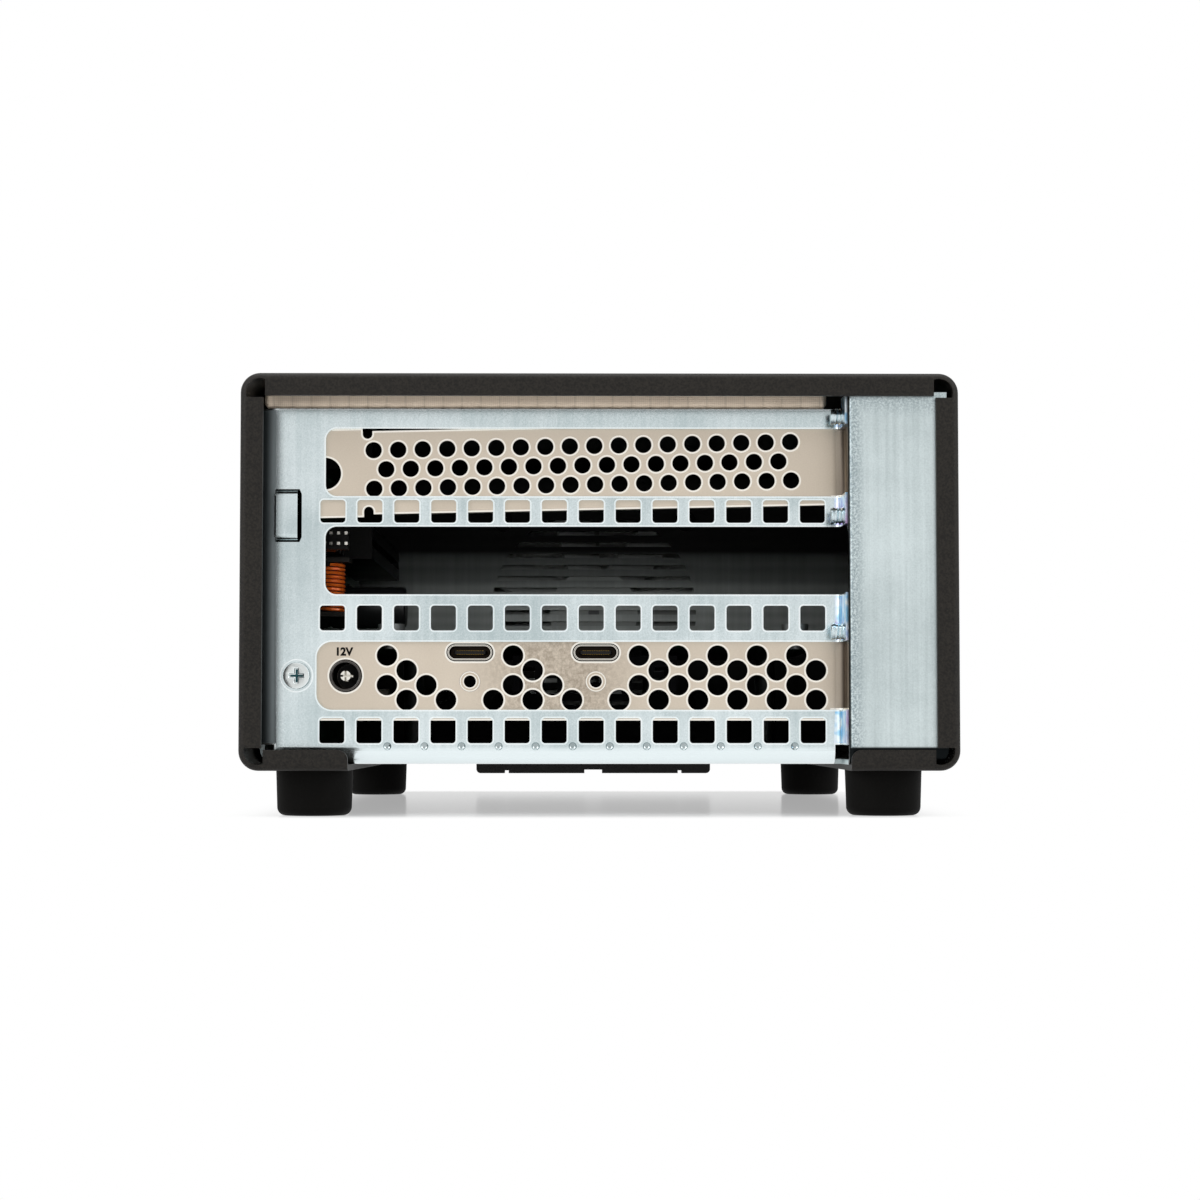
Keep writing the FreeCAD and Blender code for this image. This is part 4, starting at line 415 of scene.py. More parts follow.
# %% Nickel and other metals
BRACKET_BEND_X = mm(48.0, 50.6)
BRACKET_END_X = mm(50.5, 51.2)
STAIN_MIDDLE_X = -9.0 * MM
STAIN_REACH_X = mm(4.0, 20.0)
STAIN_TOP_Z = mm(34.0, 42.0)


def make_metal(name, dim, bright, gloss, grain_scale, depth=0.000012):
    """Satin metal with a fine even grain and soft patches; returns its colour too."""
    shader, place = new_finish(name)
    fine = grain(place, grain_scale, 2.0, 0.6)
    patches = grain(place, 90.0, 2.0)
    colour = blended(0.5 * fine + 0.5 * patches, dim, bright)
    coat(shader, {
        "Metallic": 1.0,
        "Base Color": colour,
        "Roughness": gloss + 0.12 * patches + 0.06 * fine,
        "Normal": bumped(fine, depth, 0.4),
    })
    return shader, place, colour


def make_nickel():
    """Satin nickel of the brackets, stained in one place, with painted shade darkening it towards the bend at
    the right.
    """
    shader, place, clean = make_metal("satin nickel", shade(196, 183, 166), shade(226, 215, 199), 0.30, 3200.0)
    across, height = axis_of(place, "X"), axis_of(place, "Z")
    spread = place.node("ShaderNodeMath", {"operation": "ABSOLUTE"}, {0: across - STAIN_MIDDLE_X})
    spot = (1.0 - spread.smooth(*STAIN_REACH_X)) * (1.0 - height.smooth(*STAIN_TOP_Z))
    mottle = grain(place, 1500.0, 3.0, 0.7)
    stained = blended(0.62 * spot * mottle.smooth(0.20, 0.75), clean, shade(120, 106, 90))
    # Painted shade: the bracket is darkened towards its bend at the right.
    bend = across.smooth(*BRACKET_BEND_X) * (1.0 - 0.4 * across.smooth(*BRACKET_END_X))
    coat(shader, {"Base Color": blended(0.94 * bend, stained, shade(62, 53, 46))})


def make_recessed_screw():
    """Pale zinc screw head whose cross recess is painted dark teal as shade."""
    shader, place, pale = make_metal("recessed screw zinc", shade(206, 212, 212), shade(236, 240, 238),
                                     0.20, 2600.0)
    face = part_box("rear_screw")[0].y
    # Painted shade in the cross recess.
    recess_shade = axis_of(place, "Y").smooth(face + 0.12 * MM, face + 0.30 * MM)
    coat(shader, {"Base Color": blended(recess_shade, pale, shade(44, 78, 82))})


make_nickel()
make_recessed_screw()
# A bright nickel for the painted highlights along punched edges.
make_metal("nickel edge highlight", shade(244, 238, 226), shade(255, 252, 244), 0.16, 2600.0)
make_metal("bright screw zinc", shade(186, 204, 210), shade(232, 242, 244), 0.16, 2600.0)
make_metal("dull inner zinc", shade(128, 131, 131), shade(156, 159, 159), 0.50, 1800.0)
make_metal("black screw oxide", shade(14, 14, 14), shade(30, 30, 30), 0.38, 2600.0)
# The port shells are painted near black, as the shade inside the ports.
make_metal("port steel in painted shade", shade(34, 29, 25), shade(66, 58, 50), 0.24, 2200.0)
make_metal("plated press nut", shade(190, 176, 158), shade(218, 206, 188), 0.26, 2600.0)
make_metal("nickel contact", shade(226, 222, 212), shade(250, 248, 242), 0.16, 2600.0)
make_metal("black anodised aluminium", shade(16, 16, 17), shade(34, 34, 36), 0.36, 1500.0)
make_metal("sintered bronze", shade(150, 116, 70), shade(186, 148, 96), 0.45, 3000.0)
make_metal("ground shaft steel", shade(96, 98, 99), shade(128, 130, 132), 0.34, 3000.0)
make_metal("gold contact", shade(190, 150, 70), shade(226, 190, 106), 0.24, 2600.0)
print("finishes so far:", len(finishes))

# %% [markdown]
# ## Enamelled copper
# The choke's wire is copper under a clear orange enamel. Copper is a metal here, and the enamel is
# a glossy coat over it, so the turns show a sharp highlight on a warm ground.

# %% Copper wire
def make_copper():
    """Copper under clear enamel, a little darker where it was drawn."""
    shader, place = new_finish("enamelled copper")
    drawn = grain(stretched(place, 900.0, 900.0, 200.0), 1.0, 2.0)
    coat(shader, {
        "Metallic": 0.25,
        "Base Color": blended(drawn, shade(250, 92, 20), shade(255, 138, 50)),
        "Roughness": 0.26 + 0.10 * drawn,
        "Coat Weight": 0.6,
        "Coat Roughness": 0.1,
    })


make_copper()
print("copper is ready")

# %% [markdown]
# ## Rubber and moulded plastics
# Feet are matt rubber with a dusty bloom. Bezel, jack, sockets and fan are moulded plastics whose
# tools were spark-eroded, which leaves a fine even texture. One maker serves them all, the filter's
# foam too, whose inner side has a pale liner.

# %% Rubber, plastics and foam
def make_moulded(name, dark, light, gloss, texture_scale, depth, shine=0.3):
    """Moulded material with an even tool texture and slow patches; returns its colour too."""
    shader, place = new_finish(name)
    texture = grain(place, texture_scale, 3.0, 0.65)
    patches = grain(place, 70.0, 2.0)
    colour = blended(0.55 * texture + 0.45 * patches, dark, light)
    coat(shader, {
        "Specular IOR Level": shine,
        "Base Color": colour,
        "Roughness": gloss + 0.12 * patches + 0.08 * texture,
        "Normal": bumped(texture, depth, 0.5),
    })
    return shader, place, colour


def make_filter_foam():
    """Dark open foam with a pale liner on the side of the fan."""
    shader, place, pores = make_moulded("filter foam", shade(10, 10, 10), shade(30, 30, 30),
                                        0.80, 900.0, 0.0004)
    low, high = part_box("dust_filter")
    middle = 0.5 * (low.y + high.y)
    lined = 1.0 - axis_of(place, "Y").smooth(middle - 0.5 * MM, middle + 0.5 * MM)
    coat(shader, {"Base Color": blended(lined, pores, shade(190, 194, 192))})


make_moulded("foot rubber", shade(5, 5, 4), shade(14, 13, 12), 0.56, 1700.0, 0.00004, 0.06)
make_moulded("bezel plastic", shade(22, 21, 21), shade(38, 36, 35), 0.44, 2400.0, 0.00006)
make_moulded("jack plastic", shade(10, 9, 9), shade(20, 19, 18), 0.32, 2600.0, 0.00002, 0.2)
# The edge's lighter colour is a painted highlight; its gloss and shine are the plastic's own.
make_moulded("polished jack edge", shade(40, 36, 33), shade(66, 60, 55), 0.14, 2600.0, 0.00001, 0.8)
make_moulded("black can sleeve", shade(16, 16, 17), shade(30, 30, 32), 0.22, 2600.0, 0.00001, 0.6)
make_moulded("socket plastic", shade(9, 9, 9), shade(20, 19, 18), 0.40, 2600.0, 0.00003, 0.2)
make_moulded("fan plastic", shade(136, 140, 138), shade(164, 168, 166), 0.44, 2200.0, 0.00003)
make_moulded("chip plastic", shade(20, 20, 21), shade(36, 36, 37), 0.48, 2800.0, 0.00003)
make_moulded("ferrite", shade(26, 24, 22), shade(48, 45, 42), 0.60, 1800.0, 0.00004)
make_moulded("lead sleeve", shade(16, 16, 16), shade(34, 33, 33), 0.52, 1500.0, 0.00005)
make_moulded("white plug plastic", shade(196, 190, 176), shade(226, 221, 208), 0.38, 2200.0, 0.00002)
make_moulded("printed ink", shade(8, 7, 7), shade(20, 18, 17), 0.60, 2600.0, 0.00001, 0.1)
make_filter_foam()
print("moulded finishes are ready")

# %% [markdown]
# ## Light pipe
# The power light at the front is the end of a short rod of milky plastic. A little light goes in and
# comes out beside where it entered, which a small subsurface share gives.


# %% Milky light pipe
def make_lens():
    """Milky clear plastic of the power light."""
    shader, place = new_finish("milky light pipe")
    haze = grain(place, 500.0, 2.0)
    coat(shader, {
        "Base Color": blended(haze, shade(196, 206, 212), shade(226, 234, 238)),
        "Roughness": 0.16 + 0.10 * haze,
        "Subsurface Weight": 0.25,
        "Subsurface Radius": mm(1.0, 1.0, 1.0),
        "Subsurface Scale": 1.0,
    })


make_lens()
print("light pipe is ready")

# %% [markdown]
# ## Gasket fabric
# A strip of foam wrapped in conductive cloth closes the gap above the rear panel. The cloth is a
# fine plain weave, and its wrap shows a faint pressed line every few millimetres. Two crossed
# waves give the weave, and a narrow step of a repeating coordinate gives the lines.

# %% Woven gasket
WEAVE_PITCH = 0.42 * MM
PRESS_PITCH = 3.9 * MM
PRESS_SHIFT = 0.3


def make_gasket_cloth():
    """Beige conductive cloth: plain weave and faint pressed lines across the strip."""
    shader, place = new_finish("gasket cloth")
    across, upward = axis_of(place, "X"), axis_of(place, "Z")
    weave = 0.5 + 0.25 * across.wave(WEAVE_PITCH) + 0.25 * upward.wave(WEAVE_PITCH)
    strip = across * (1 / PRESS_PITCH) + (100 + PRESS_SHIFT)
    step = place.node("ShaderNodeMath", {"operation": "FRACT"}, {0: strip})
    pressed = 1.0 - step.smooth(0.02, 0.10) + step.smooth(0.94, 0.99)
    soil = grain(place, 160.0, 3.0)
    cloth = blended(0.55 * soil + 0.45 * weave, shade(196, 178, 158), shade(236, 220, 200))
    coat(shader, {
        "Metallic": 0.2,
        "Base Color": blended(0.16 * pressed, cloth, shade(110, 94, 80)),
        "Roughness": 0.58 + 0.15 * weave,
        "Normal": bumped(weave - 0.6 * pressed, 0.00007, 0.6),
    })


make_gasket_cloth()
print("gasket cloth is ready")

# %% [markdown]
# ## Circuit boards
# The boards are green solder mask over copper tracks. Tracks run square to each other, so a brick
# texture with very long bricks gives believable bundles, a little lighter than the mask between.

# %% Solder mask
def make_board(name, plane):
    """Green mask with lighter track bundles in the board's own plane."""
    shader, place = new_finish(name)
    turn = {"xy": (0.0, 0.0, 0.0), "yz": (0.0, radians(90), 0.0)}[plane]
    flat = place.node("ShaderNodeMapping", {}, {"Vector": place, "Rotation": turn})
    tracks = place.node("ShaderNodeTexBrick", {"offset": 0.37, "squash": 1.0}, {
        "Vector": flat, "Scale": 1.0, "Mortar Size": 0.22 * MM, "Brick Width": 31.0 * MM,
        "Row Height": 1.1 * MM}, out="Fac")
    cloud = grain(place, 120.0, 2.0)
    mask = blended(cloud, shade(10, 44, 26), shade(18, 62, 38))
    coat(shader, {
        "Base Color": blended(0.55 * tracks, mask, shade(34, 96, 58)),
        "Roughness": 0.30 + 0.14 * cloud,
        "Normal": bumped(tracks, 0.00003, 0.5),
    })


make_board("green board", "xy")
make_board("green backplane", "yz")
print("boards are ready")

# %% [markdown]
# ## Dress the solid model
# A node whose shape is right keeps its mesh and only takes a better finish. Others are replaced
# further on by a piece with more detail, which takes the same finish.

# %% Give every node its finish
FINISH_NODES = {
    "black powder coat": ["cover"],
    "cage zinc": ["card_cage"],
    "zinc sheet": ["rear_panel"],
    "tinted zinc": ["slot_ledge"],
    "gasket cloth": ["emi_gasket"],
    "satin nickel": ["upper_slot_cover", "io_bracket", "io_bracket_tab"],
    "jack plastic": ["dc_jack"],
    "nickel contact": ["dc_jack_pin"],
    "port steel in painted shade": ["port_shell_left", "port_shell_right"],
    "socket plastic": ["port_tongue_left", "port_tongue_right", "slot_connector_upper",
                       "slot_connector_middle", "slot_connector_lower"],
    "plated press nut": ["lock_nuts"],
    "green board": ["interface_board"],
    "green backplane": ["backplane"],
    "bright screw zinc": ["foot_screws", "slot_screws"],
    "dull inner zinc": ["board_standoffs", "board_screws", "backplane_standoffs", "backplane_screws"],
    "black screw oxide": ["bulkhead_screws", "fan_screws"],
    "recessed screw zinc": ["rear_screw"],
    "chip plastic": ["controller_chip"],
    "black anodised aluminium": ["controller_heatsink"],
    "ferrite": ["choke_core"],
    "enamelled copper": ["choke_winding"],
    "black can sleeve": ["capacitors"],
    "inner bulkhead": ["front_bulkhead"],
    "fan plastic": ["fan_frame", "fan_rotor"],
    "sintered bronze": ["fan_bearing"],
    "ground shaft steel": ["fan_shaft"],
    "bezel plastic": ["front_bezel"],
    "black grille paint": ["front_grille"],
    "filter foam": ["dust_filter"],
    "milky light pipe": ["light_pipe"],
    "foot rubber": ["foot_rear_left", "foot_rear_right", "foot_front_left", "foot_front_right"],
    "lead sleeve": ["fan_cable"],
    "white plug plastic": ["fan_header", "fan_plug"],
}


def dress(mesh, *names):
    """Give a mesh these finishes only; clearing an empty list would reset its face indices."""
    if mesh.materials:
        mesh.materials.clear()
    for name in names:
        mesh.materials.append(finishes[name])


for finish, members in FINISH_NODES.items():
    for node in members:
        dress(nodes[node].data, finish)
print("dressed", sum(len(members) for members in FINISH_NODES.values()), "of", len(nodes), "nodes")

# %% [markdown]
# ## New pieces
# A piece of finer detail has to know the body it moves with and the nodes it stands for. One helper
# says both. Two more turn a modifier's result into a plain mesh, and a closed shape into a smooth piece.


def add_piece(name, mesh, replaced=(), body="chassis"):
    """A finished mesh as a piece that rides on a body and may stand for nodes."""
    mesh.name = name
    piece = bpy.data.objects.new(name, mesh)
    scene.collection.objects.link(piece)
    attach(piece, body)
    if replaced:
        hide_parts(*replaced)
    print(name, "faces:", len(mesh.polygons))
    return piece


def plain_mesh(piece):
    """The mesh that an object has after its modifiers; the object is removed."""
    bpy.context.view_layer.update()
    evaluated = piece.evaluated_get(bpy.context.evaluated_depsgraph_get())
    mesh = bpy.data.meshes.new_from_object(evaluated)
    bpy.data.objects.remove(piece)
    return mesh


def add_skin(name, shape, finish, replaced=()):
    """A closed shape as a smooth piece whose faces look outward."""
    bmesh.ops.recalc_face_normals(shape, faces=shape.faces)
    for face in shape.faces:
        face.smooth = True
    mesh = bpy.data.meshes.new(name)
    shape.to_mesh(mesh)
    shape.free()
    dress(mesh, finish)
    return add_piece(name, mesh, replaced)


def join_loops(shape, loops):
    """Faces between closed loops of corners, and one over each end."""
    for first, second in zip(loops, loops[1:]):
        for step in range(len(first)):
            after = (step + 1) % len(first)
            shape.faces.new((first[step], first[after], second[after], second[step]))
    shape.faces.new(loops[0])
    shape.faces.new(list(reversed(loops[-1])))


# %% [markdown]
# ## Welded copies
# A node's own mesh is loose triangles, which can take neither a ring nor a bevel along an edge. So a
# copy is welded and its flat triangles are joined again. Where two nodes are one bent sheet, the
# faces at their common plane go before the welding, and the bend becomes one surface.

# %% Weld node meshes
SEAM_REACH = 0.002 * MM
SOFT_TURN = radians(40)
FINISH_OF = {node: finish for finish, members in FINISH_NODES.items() for node in members}


def close_seam(shape):
    """Join two ends of unlike width: split open edges at the corners on them, merge, fill the rest."""
    def open_edges():
        return [edge for edge in shape.edges if len(edge.link_faces) == 1]

    for corner in {vert for edge in open_edges() for vert in edge.verts}:
        for edge in open_edges():
            near, share = intersect_point_line(corner.co, edge.verts[0].co, edge.verts[1].co)
            if corner not in edge.verts and 0.0 < share < 1.0 and (near - corner.co).length < SEAM_REACH:
                bmesh.utils.edge_split(edge, edge.verts[0], share)
    bmesh.ops.remove_doubles(shape, verts=shape.verts, dist=SEAM_REACH)
    bmesh.ops.holes_fill(shape, edges=open_edges(), sides=0)
    bmesh.ops.recalc_face_normals(shape, faces=shape.faces)
    print("open edges after the seam is closed:", len(open_edges()))


def weld(members, finish_list, seam=None):
    """One welded shape from node meshes, joined at a plane across X that they share."""
    shape = bmesh.new()
    for node in members:
        known = len(shape.faces)
        shape.from_mesh(nodes[node].data)
        shape.faces.ensure_lookup_table()
        for face in shape.faces[known:]:
            face.material_index = finish_list.index(FINISH_OF[node])
    if seam is not None:
        inside = [face for face in shape.faces
                  if all(abs(vert.co.x - seam) < SEAM_REACH for vert in face.verts)]
        bmesh.ops.delete(shape, geom=inside, context="FACES")
    bmesh.ops.remove_doubles(shape, verts=shape.verts, dist=SEAM_REACH)
    if seam is not None:
        close_seam(shape)
    bmesh.ops.dissolve_limit(shape, angle_limit=radians(0.1), verts=shape.verts, edges=shape.edges,
                             delimit={"MATERIAL"})
    return shape


def finished_copy(name, shape, finish_list, members, flat=()):
    """Turn a shape into a piece that stands for its nodes; some of its faces are shaded flat."""
    for face in shape.faces:
        face.smooth = face not in flat
    bmesh.ops.dissolve_degenerate(shape, dist=SEAM_REACH, edges=shape.edges)
    for edge in shape.edges:
        edge.smooth = edge.calc_face_angle(pi) < SOFT_TURN
    mesh = bpy.data.meshes.new(name)
    shape.to_mesh(mesh)
    shape.free()
    dress(mesh, *finish_list)
    return add_piece(name, mesh, members)


print("nodes with a finish of their own:", len(FINISH_OF))

# %% [markdown]
# ## Punched edges
# A punched hole has a rolled-over rim, never a knife edge, and the bright rings round the holes are
# light that this rim catches. The skin of a sheet that faces the rear gets a narrow ring of faces
# along each sharp edge, with a bright finish that paints that light on as a highlight. Such a ring
# lies in the skin, so the shape stays as the solid model has it.

# %% Rings and bevels along edges
BEND_GAP = 0.05 * MM
SHARP_TURN = radians(50)


def skin_of(shape, start):
    """All faces that can be reached from one face without crossing a sharp edge."""
    skin, waiting = {start}, [start]
    while waiting:
        for edge in waiting.pop().edges:
            if edge.calc_face_angle(pi) < SOFT_TURN:
                fresh = [face for face in edge.link_faces if face not in skin]
                skin.update(fresh)
                waiting.extend(fresh)
    return skin


def ringed(name, members, width, rim, seam=None, plain_spots=(), plain_reach=0.0, foremost=False):
    """A copy of nodes whose rear skins have a narrow ring along each sharp edge, painted bright as a highlight.

    The skins lie level with the largest face that looks to the rear, or with the foremost one.
    At the plain spots, which are pressed dimples or filled by another part, the rings keep the
    sheet's finish.
    Where a ring is wider than the neck between a cut and the left bend, it stops short of the bend.
    """
    finish_list = list(dict.fromkeys(FINISH_OF[node] for node in members))
    shape = weld(members, finish_list, seam)
    rearward = {face for face in shape.faces if face.normal.y < -0.999}
    depths = {face: face.calc_center_median().y for face in rearward}
    largest = max(rearward, key=lambda face: face.calc_area())
    level = min(depths.values()) if foremost else depths[largest]
    main = {face for face in rearward if abs(depths[face] - level) < SEAM_REACH}
    flat_faces = list(main)
    left = min(vert.co.x for face in main for vert in face.verts)
    waiting = set(main)
    while waiting:
        skin = skin_of(shape, waiting.pop())
        waiting -= skin
        rings = bmesh.ops.inset_region(shape, faces=list(skin), use_boundary=True,
                                       use_even_offset=True, thickness=width, depth=0.0)
        for face in rings["faces"]:
            middle = face.calc_center_median()
            if all(hypot(middle.x - x, middle.z - z) > plain_reach for x, z in plain_spots):
                face.material_index = len(finish_list)
            if face.normal.y < -0.999:
                main.add(face)
            inner, after, outer_after, outer = face.verts
            for vert, source in ((inner, outer), (after, outer_after)):
                if vert.co.x < left - SEAM_REACH and abs(vert.co.y - level) > SEAM_REACH:
                    vert.co.x = source.co.x
    for vert in {vert for face in flat_faces for vert in face.verts}:
        if vert.co.x < left - SEAM_REACH:
            vert.co.x = left + BEND_GAP
    return finished_copy(name, shape, [*finish_list, rim], members, main)


def rimmed(name, members, width, rim):
    """A copy of nodes with a narrow bevel along sharp edges, whose finish is a painted highlight."""
    finish_list = list(dict.fromkeys(FINISH_OF[node] for node in members))
    shape = weld(members, finish_list)
    sharp = [edge for edge in shape.edges
             if len(edge.link_faces) == 2 and edge.calc_face_angle(0.0) > SHARP_TURN]
    bmesh.ops.bevel(shape, geom=sharp, offset=width, offset_type="OFFSET", segments=2, profile=0.5,
                    affect="EDGES", clamp_overlap=True, loop_slide=False, material=len(finish_list))
    return finished_copy(name, shape, [*finish_list, rim], members)


print("helpers for edges are ready")

# %% [markdown]
# ## Which edges get a painted highlight
# The panel and both brackets get wide rings of painted highlight, the press nuts and the ports fine ones.
# The pressed dimples at the panel's foot and the bracket's holes under the nuts stay plain. The jack and
# the left screw are turned parts, so their edges get a small bevel instead, finished as a painted highlight.

# %% Paint highlights on the edges
VENT_PITCH = 7.62
DIMPLE_FIRST_X = -43.57
DIMPLE_LEVEL_Z = 14.16
DIMPLE_COUNT = 12
DIMPLE_REACH = 1.1 * MM
PANEL_RING = 0.32 * MM
BRACKET_RING = 0.36 * MM
NUT_RING = 0.24 * MM
PORT_RING = 0.1 * MM
BEVEL = 0.16 * MM
panel_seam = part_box("slot_ledge")[0].x
bracket_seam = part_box("io_bracket_tab")[0].x
dimple_spots = [mm(DIMPLE_FIRST_X + step * VENT_PITCH, DIMPLE_LEVEL_Z) for step in range(DIMPLE_COUNT)]
low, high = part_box("lock_nuts")
nut_radius = 0.5 * (high.z - low.z)
nut_spots = [(x, low.z + nut_radius) for x in (low.x + nut_radius, high.x - nut_radius)]
# Each ring's bright finish is a painted highlight where the rim catches the light.
ringed("rear_panel_ringed", ["rear_panel", "slot_ledge"], PANEL_RING, "zinc edge highlight", panel_seam,
       dimple_spots, DIMPLE_REACH)
ringed("upper_slot_cover_ringed", ["upper_slot_cover"], BRACKET_RING, "nickel edge highlight")
ringed("io_bracket_ringed", ["io_bracket", "io_bracket_tab"], BRACKET_RING, "nickel edge highlight",
       bracket_seam, nut_spots, nut_radius)
ringed("lock_nuts_ringed", ["lock_nuts"], NUT_RING, "nickel edge highlight", foremost=True)
for hand in ("left", "right"):
    ringed(f"port_shell_{hand}_ringed", [f"port_shell_{hand}"], PORT_RING, "nickel edge highlight", foremost=True)
rimmed("power_jack_rimmed", ["dc_jack"], BEVEL, "polished jack edge")
rimmed("rear_screw_rimmed", ["rear_screw"], BEVEL, "zinc edge highlight")

# %% [markdown]
# ## Things that repeat
# Screw threads, the choke's winding, socket contacts, header pins and small board parts are the
# same shape many times over, so each comes from a Geometry Nodes tree. A piece starts as a mesh of
# a few points, the tree grows a shape on each of them, and the result is kept as a plain mesh.

# %% Grow shapes on points
def new_tree(name, inputs):
    """A Geometry Nodes tree with named inputs; returns its inputs as fields."""
    tree = bpy.data.node_groups.new(name, "GeometryNodeTree")
    tree.interface.new_socket("Points", in_out="INPUT", socket_type="NodeSocketGeometry")
    for label, kind in inputs.items():
        tree.interface.new_socket(label, in_out="INPUT", socket_type="NodeSocket" + kind)
    tree.interface.new_socket("Material", in_out="INPUT", socket_type="NodeSocketMaterial")
    tree.interface.new_socket("Grown", in_out="OUTPUT", socket_type="NodeSocketGeometry")
    entry = tree.nodes.new("NodeGroupInput")
    return tree, {socket.name: Field(tree, socket) for socket in entry.outputs if socket.name}


def end_tree(tree, grown, material):
    """Make instances real, set the material and close the tree."""
    real = grown.node("GeometryNodeRealizeInstances", {}, {"Geometry": grown})
    coated = real.node("GeometryNodeSetMaterial", {}, {"Geometry": real, "Material": material})
    leave = tree.nodes.new("NodeGroupOutput")
    tree.links.new(coated.socket, leave.inputs[0])


def grow(name, tree, points, values, finish, replaced=()):
    """A piece that a tree grows on points given in millimetres."""
    base = bpy.data.meshes.new(name + "_points")
    base.from_pydata([mm(*point) for point in points], [], [])
    piece = bpy.data.objects.new(name + "_grown", base)
    scene.collection.objects.link(piece)
    modifier = piece.modifiers.new("grow", "NODES")
    modifier.node_group = tree
    values = dict(values, Material=finishes[finish])
    for item in tree.interface.items_tree:
        if item.in_out == "INPUT" and item.name in values:
            modifier[item.identifier] = values[item.name]
    mesh = plain_mesh(piece)
    for face in mesh.polygons:
        face.use_smooth = True
    mesh.set_sharp_from_angle(angle=radians(35))
    return add_piece(name, mesh, replaced)


def make_helix_tree():
    """A wire wound round an axis through each point."""
    tree, inputs = new_tree("wound wire", {
        "Turns": "Float", "Radius": "Float", "Height": "Float", "Wire Radius": "Float", "Sides": "Int",
        "Steps": "Int", "Turn": "Vector",
    })
    spiral = inputs["Turns"].node("GeometryNodeCurveSpiral", {}, {
        "Resolution": inputs["Steps"], "Rotations": inputs["Turns"], "Start Radius": inputs["Radius"],
        "End Radius": inputs["Radius"], "Height": inputs["Height"]})
    profile = spiral.node("GeometryNodeCurvePrimitiveCircle", {}, {
        "Resolution": inputs["Sides"], "Radius": inputs["Wire Radius"]})
    wire = spiral.node("GeometryNodeCurveToMesh", {}, {
        "Curve": spiral, "Profile Curve": profile, "Fill Caps": True})
    turned = wire.node("GeometryNodeTransform", {}, {"Geometry": wire, "Rotation": inputs["Turn"]})
    points = turned.node("GeometryNodeMeshToPoints", {}, {"Mesh": inputs["Points"]})
    wound = points.node("GeometryNodeInstanceOnPoints", {}, {"Points": points, "Instance": turned})
    end_tree(tree, wound, inputs["Material"])
    return tree


def make_row_tree():
    """A straight row of small blades that starts at each point."""
    tree, inputs = new_tree("row of blades", {"Count": "Int", "Offset": "Vector", "Size": "Vector"})
    line = inputs["Count"].node("GeometryNodeMeshLine", {"mode": "OFFSET"}, {
        "Count": inputs["Count"], "Offset": inputs["Offset"]})
    blade = line.node("GeometryNodeMeshCube", {}, {"Size": inputs["Size"]})
    row = line.node("GeometryNodeInstanceOnPoints", {}, {"Points": line, "Instance": blade})
    points = row.node("GeometryNodeMeshToPoints", {}, {"Mesh": inputs["Points"]})
    rows = points.node("GeometryNodeInstanceOnPoints", {}, {"Points": points, "Instance": row})
    end_tree(tree, rows, inputs["Material"])
    return tree


def make_scatter_tree():
    """Small block-shaped parts strewn over a rectangle that is centred on each point."""
    tree, inputs = new_tree("strewn parts", {
        "Width": "Float", "Depth": "Float", "Gap": "Float", "Part": "Vector", "Seed": "Int", "Turn": "Vector",
    })
    field = inputs["Width"].node("GeometryNodeMeshGrid", {}, {
        "Size X": inputs["Width"], "Size Y": inputs["Depth"], "Vertices X": 2, "Vertices Y": 2})
    spots = field.node("GeometryNodeDistributePointsOnFaces", {"distribute_method": "POISSON"}, {
        "Mesh": field, "Distance Min": inputs["Gap"], "Density Max": 60000.0, "Seed": inputs["Seed"]})
    size = spots.node("FunctionNodeRandomValue", {"data_type": "FLOAT_VECTOR"}, {
        0: (0.6, 0.7, 0.7), 1: (1.5, 1.3, 1.6), "Seed": inputs["Seed"]})
    body = spots.node("GeometryNodeMeshCube", {}, {"Size": inputs["Part"]})
    strewn = spots.node("GeometryNodeInstanceOnPoints", {}, {"Points": spots, "Instance": body, "Scale": size})
    turned = strewn.node("GeometryNodeTransform", {}, {"Geometry": strewn, "Rotation": inputs["Turn"]})
    points = turned.node("GeometryNodeMeshToPoints", {}, {"Mesh": inputs["Points"]})
    fields = points.node("GeometryNodeInstanceOnPoints", {}, {"Points": points, "Instance": turned})
    end_tree(tree, fields, inputs["Material"])
    return tree


helix_tree = make_helix_tree()
row_tree = make_row_tree()
scatter_tree = make_scatter_tree()
print("trees:", [tree.name for tree in bpy.data.node_groups])

# %% [markdown]
# ## Threads and winding
# Three screws hold the brackets to the ledge, and their thread ends show beside the column. Each
# gets a helix with a three-sided profile, as a rolled thread has. The choke's winding is the same
# helix with a round wire that lies close on the core.

# %% Thread ends and the choke's winding
THREAD_PITCH = 0.8
THREAD_TURNS = 2.7
THREAD_RADIUS = 1.5
THREAD_HEIGHT = 0.34
THREAD_START = 0.25
TIP_REACH = 3.5
CORE_RADIUS = 2.2
WIRE_RADIUS = 0.37
WIRE_PITCH = 0.95


def tip_heights(node):
    """Heights of a node's screw tips: the middle of each group of corners at its left end."""
    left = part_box(node)[0].x
    levels = sorted({round(vert.co.z / MM, 1) for vert in nodes[node].data.vertices
                     if vert.co.x < left + 0.05 * MM})
    groups = [[levels[0]]]
    for level in levels[1:]:
        if level - groups[-1][-1] > TIP_REACH:
            groups.append([])
        groups[-1].append(level)
    return [0.5 * (group[0] + group[-1]) for group in groups]


low, high = [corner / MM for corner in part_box("slot_screws")]
tips = [(low.x + THREAD_START, 0.5 * (low.y + high.y), level) for level in tip_heights("slot_screws")]
grow("thread_ends", helix_tree, tips, {
    "Turns": THREAD_TURNS, "Radius": THREAD_RADIUS * MM, "Height": THREAD_TURNS * THREAD_PITCH * MM,
    "Wire Radius": THREAD_HEIGHT * MM, "Sides": 3, "Steps": 18, "Turn": (0.0, radians(90), 0.0),
}, "bright screw zinc")

